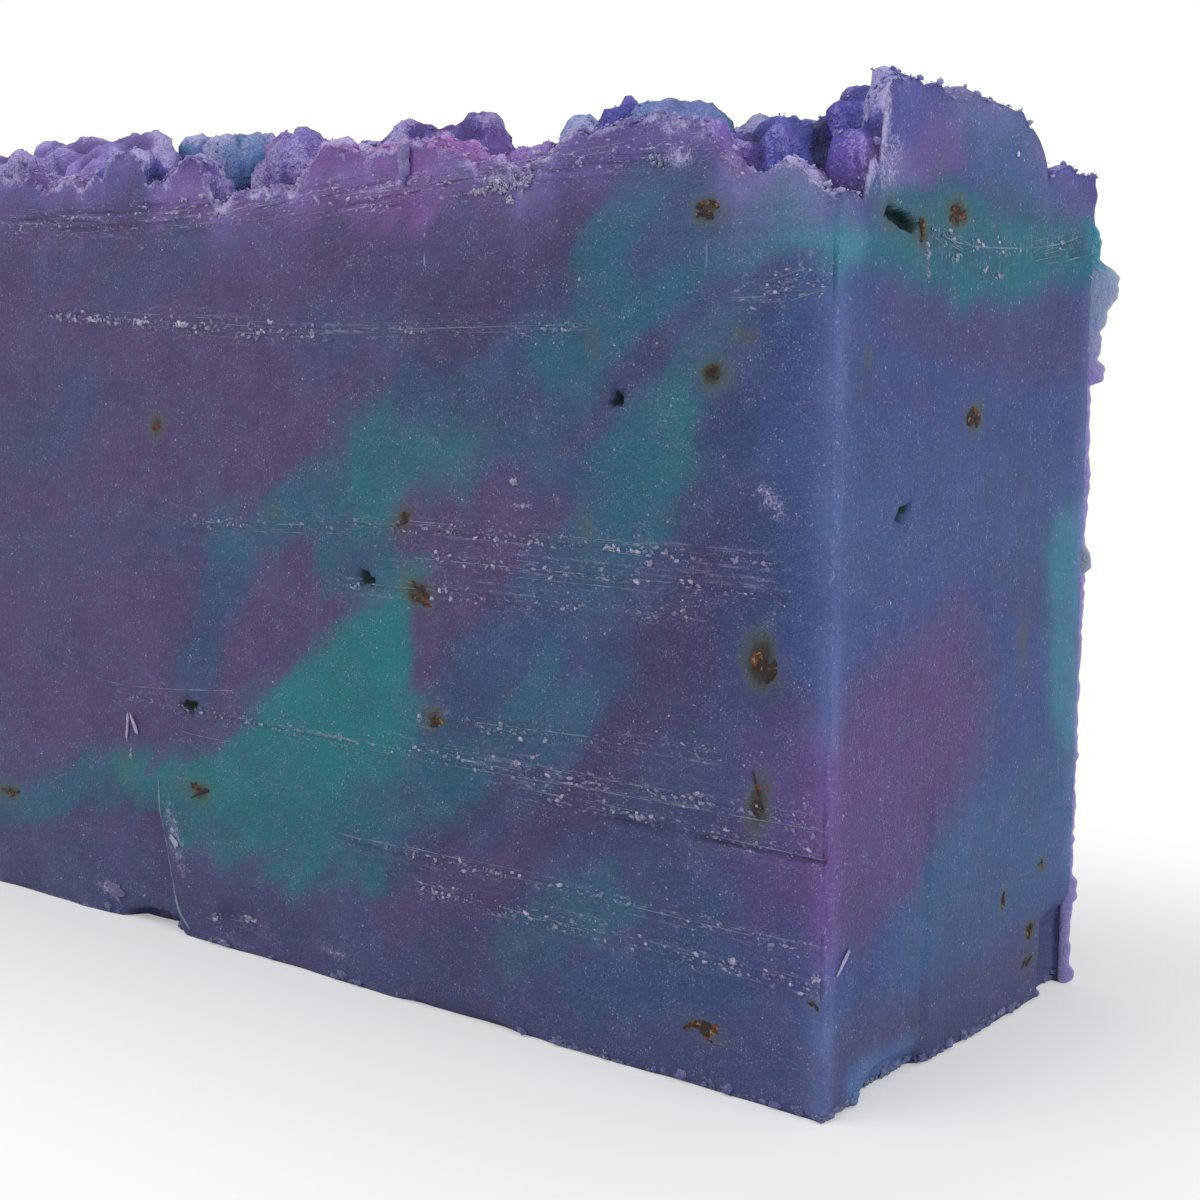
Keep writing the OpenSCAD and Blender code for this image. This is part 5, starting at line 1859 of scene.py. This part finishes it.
def make_floor():
    """A pale floor that keeps the bar's shadow near it and is white to the camera further away.

    How far a place is from the bar is the length of its way beyond the bar's box, part by part.
    """
    mesh = bpy.data.meshes.new("floor")
    r = FLOOR_REACH
    mesh.from_pydata([(-r, -r, 0), (r, -r, 0), (r, r, 0), (-r, r, 0)], [], [(0, 1, 2, 3)])
    floor = bpy.data.objects.new("floor", mesh)
    bpy.context.scene.collection.objects.link(floor)
    m = Finish(bpy.data.materials.new("pale_floor"))
    here = m.node("ShaderNodeTexCoord", output="Object")
    beyond = m.node("ShaderNodeVectorMath", {"operation": "ABSOLUTE"}, {0: here})
    half_sizes = (HALF_LENGTH * MM, HALF_THICKNESS * MM, 0)
    beyond = m.node("ShaderNodeVectorMath", {"operation": "SUBTRACT"}, {0: beyond, 1: half_sizes})
    beyond = m.node("ShaderNodeVectorMath", {"operation": "MAXIMUM"}, {0: beyond, 1: (0, 0, 0)})
    away = m.node("ShaderNodeVectorMath", {"operation": "LENGTH"}, {0: beyond}, output="Value")
    far = away.ramp(0.0, 0.045)
    seen = m.node("ShaderNodeLightPath", output="Is Camera Ray")
    plain = m.node("ShaderNodeBsdfDiffuse", {}, {"Color": (0.86, 0.86, 0.87, 1)})
    white = m.node("ShaderNodeEmission", {}, {"Color": (1, 1, 1, 1), "Strength": 1.0})
    amount = seen * (0.30 + far * 0.70)
    mixed = m.node("ShaderNodeMixShader", {}, {0: amount, 1: plain, 2: white})
    m.node("ShaderNodeOutputMaterial", {}, {"Surface": mixed})
    mesh.materials.append(m.owner)


def make_world(scene):
    """Even light from all around, with a white backdrop for the camera and for clear rays."""
    world = Finish(bpy.data.worlds.new("studio"))
    seen = world.node("ShaderNodeLightPath", output="Is Camera Ray")
    clear = world.node("ShaderNodeLightPath", output="Is Transmission Ray")
    direct = world.node("ShaderNodeMath", {"operation": "MAXIMUM"}, {0: seen, 1: clear})
    sky, backdrop = (
        world.node("ShaderNodeBackground", {}, {"Color": (1, 1, 1, 1), "Strength": level})
        for level in (WORLD_LEVEL, 1.0)
    )
    mixed = world.node("ShaderNodeMixShader", {}, {0: direct, 1: sky, 2: backdrop})
    world.node("ShaderNodeOutputWorld", {}, {"Surface": mixed})
    scene.world = world.owner


def make_light(name, place, target, size, power):
    """A square soft light that looks at a point."""
    data = bpy.data.lights.new(name, "AREA")
    data.size = size
    data.energy = power
    light = bpy.data.objects.new(name, data)
    light.location = place
    light.rotation_mode = "QUATERNION"
    light.rotation_quaternion = (Vector(target) - Vector(place)).to_track_quat("-Z", "Y")
    bpy.context.scene.collection.objects.link(light)


def make_camera(scene):
    """The camera at the photograph's place: it looks level along +Y, then turns, tips and rolls."""
    data = bpy.data.cameras.new("camera")
    data.sensor_width = 36.0
    data.lens = CAMERA_LENS
    data.clip_start = 0.01
    data.clip_end = 10.0
    camera = bpy.data.objects.new("camera", data)
    camera.rotation_mode = "XYZ"
    turn = Matrix.Rotation(math.radians(CAMERA_TURN), 4, "Z")
    tip = Matrix.Rotation(math.radians(90 - CAMERA_DOWN), 4, "X")
    roll = Matrix.Rotation(math.radians(CAMERA_ROLL), 4, "Z")
    place = Matrix.Translation([part * MM for part in CAMERA_PLACE])
    camera.matrix_world = place @ turn @ tip @ roll
    scene.collection.objects.link(camera)
    scene.camera = camera


class SOAP_PT_panel(bpy.types.Panel):
    """Lists the steps that build the bar"""

    bl_label = "Soap Bar"
    bl_idname = "SOAP_PT_panel"
    bl_space_type = "VIEW_3D"
    bl_region_type = "UI"
    bl_category = "Soap"

    def draw(self, context):
        for operator in OPERATORS:
            self.layout.operator(operator.bl_idname)


OPERATORS = (
    SOAP_OT_bar,
    SOAP_OT_petals,
    SOAP_OT_crumbs,
    SOAP_OT_heaps,
    SOAP_OT_curds,
    SOAP_OT_flakes,
    SOAP_OT_ridges,
    SOAP_OT_stage,
)
CLASSES = (SoapSizes, SoapTints) + OPERATORS + (SOAP_PT_panel,)


def register():
    """Registers the classes and puts the sizes and tints on the scene."""
    for cls in CLASSES:
        bpy.utils.register_class(cls)
    bpy.types.Scene.soap_sizes = bpy.props.PointerProperty(type=SoapSizes)
    bpy.types.Scene.soap_tints = bpy.props.PointerProperty(type=SoapTints)


def unregister():
    """Takes away what register put in place."""
    del bpy.types.Scene.soap_tints
    del bpy.types.Scene.soap_sizes
    for cls in reversed(CLASSES):
        bpy.utils.unregister_class(cls)


def main():
    """Runs the operators in order."""
    register()
    for operator in OPERATORS:
        group, name = operator.bl_idname.split(".")
        getattr(getattr(bpy.ops, group), name)()


if __name__ == "__main__":
    main()
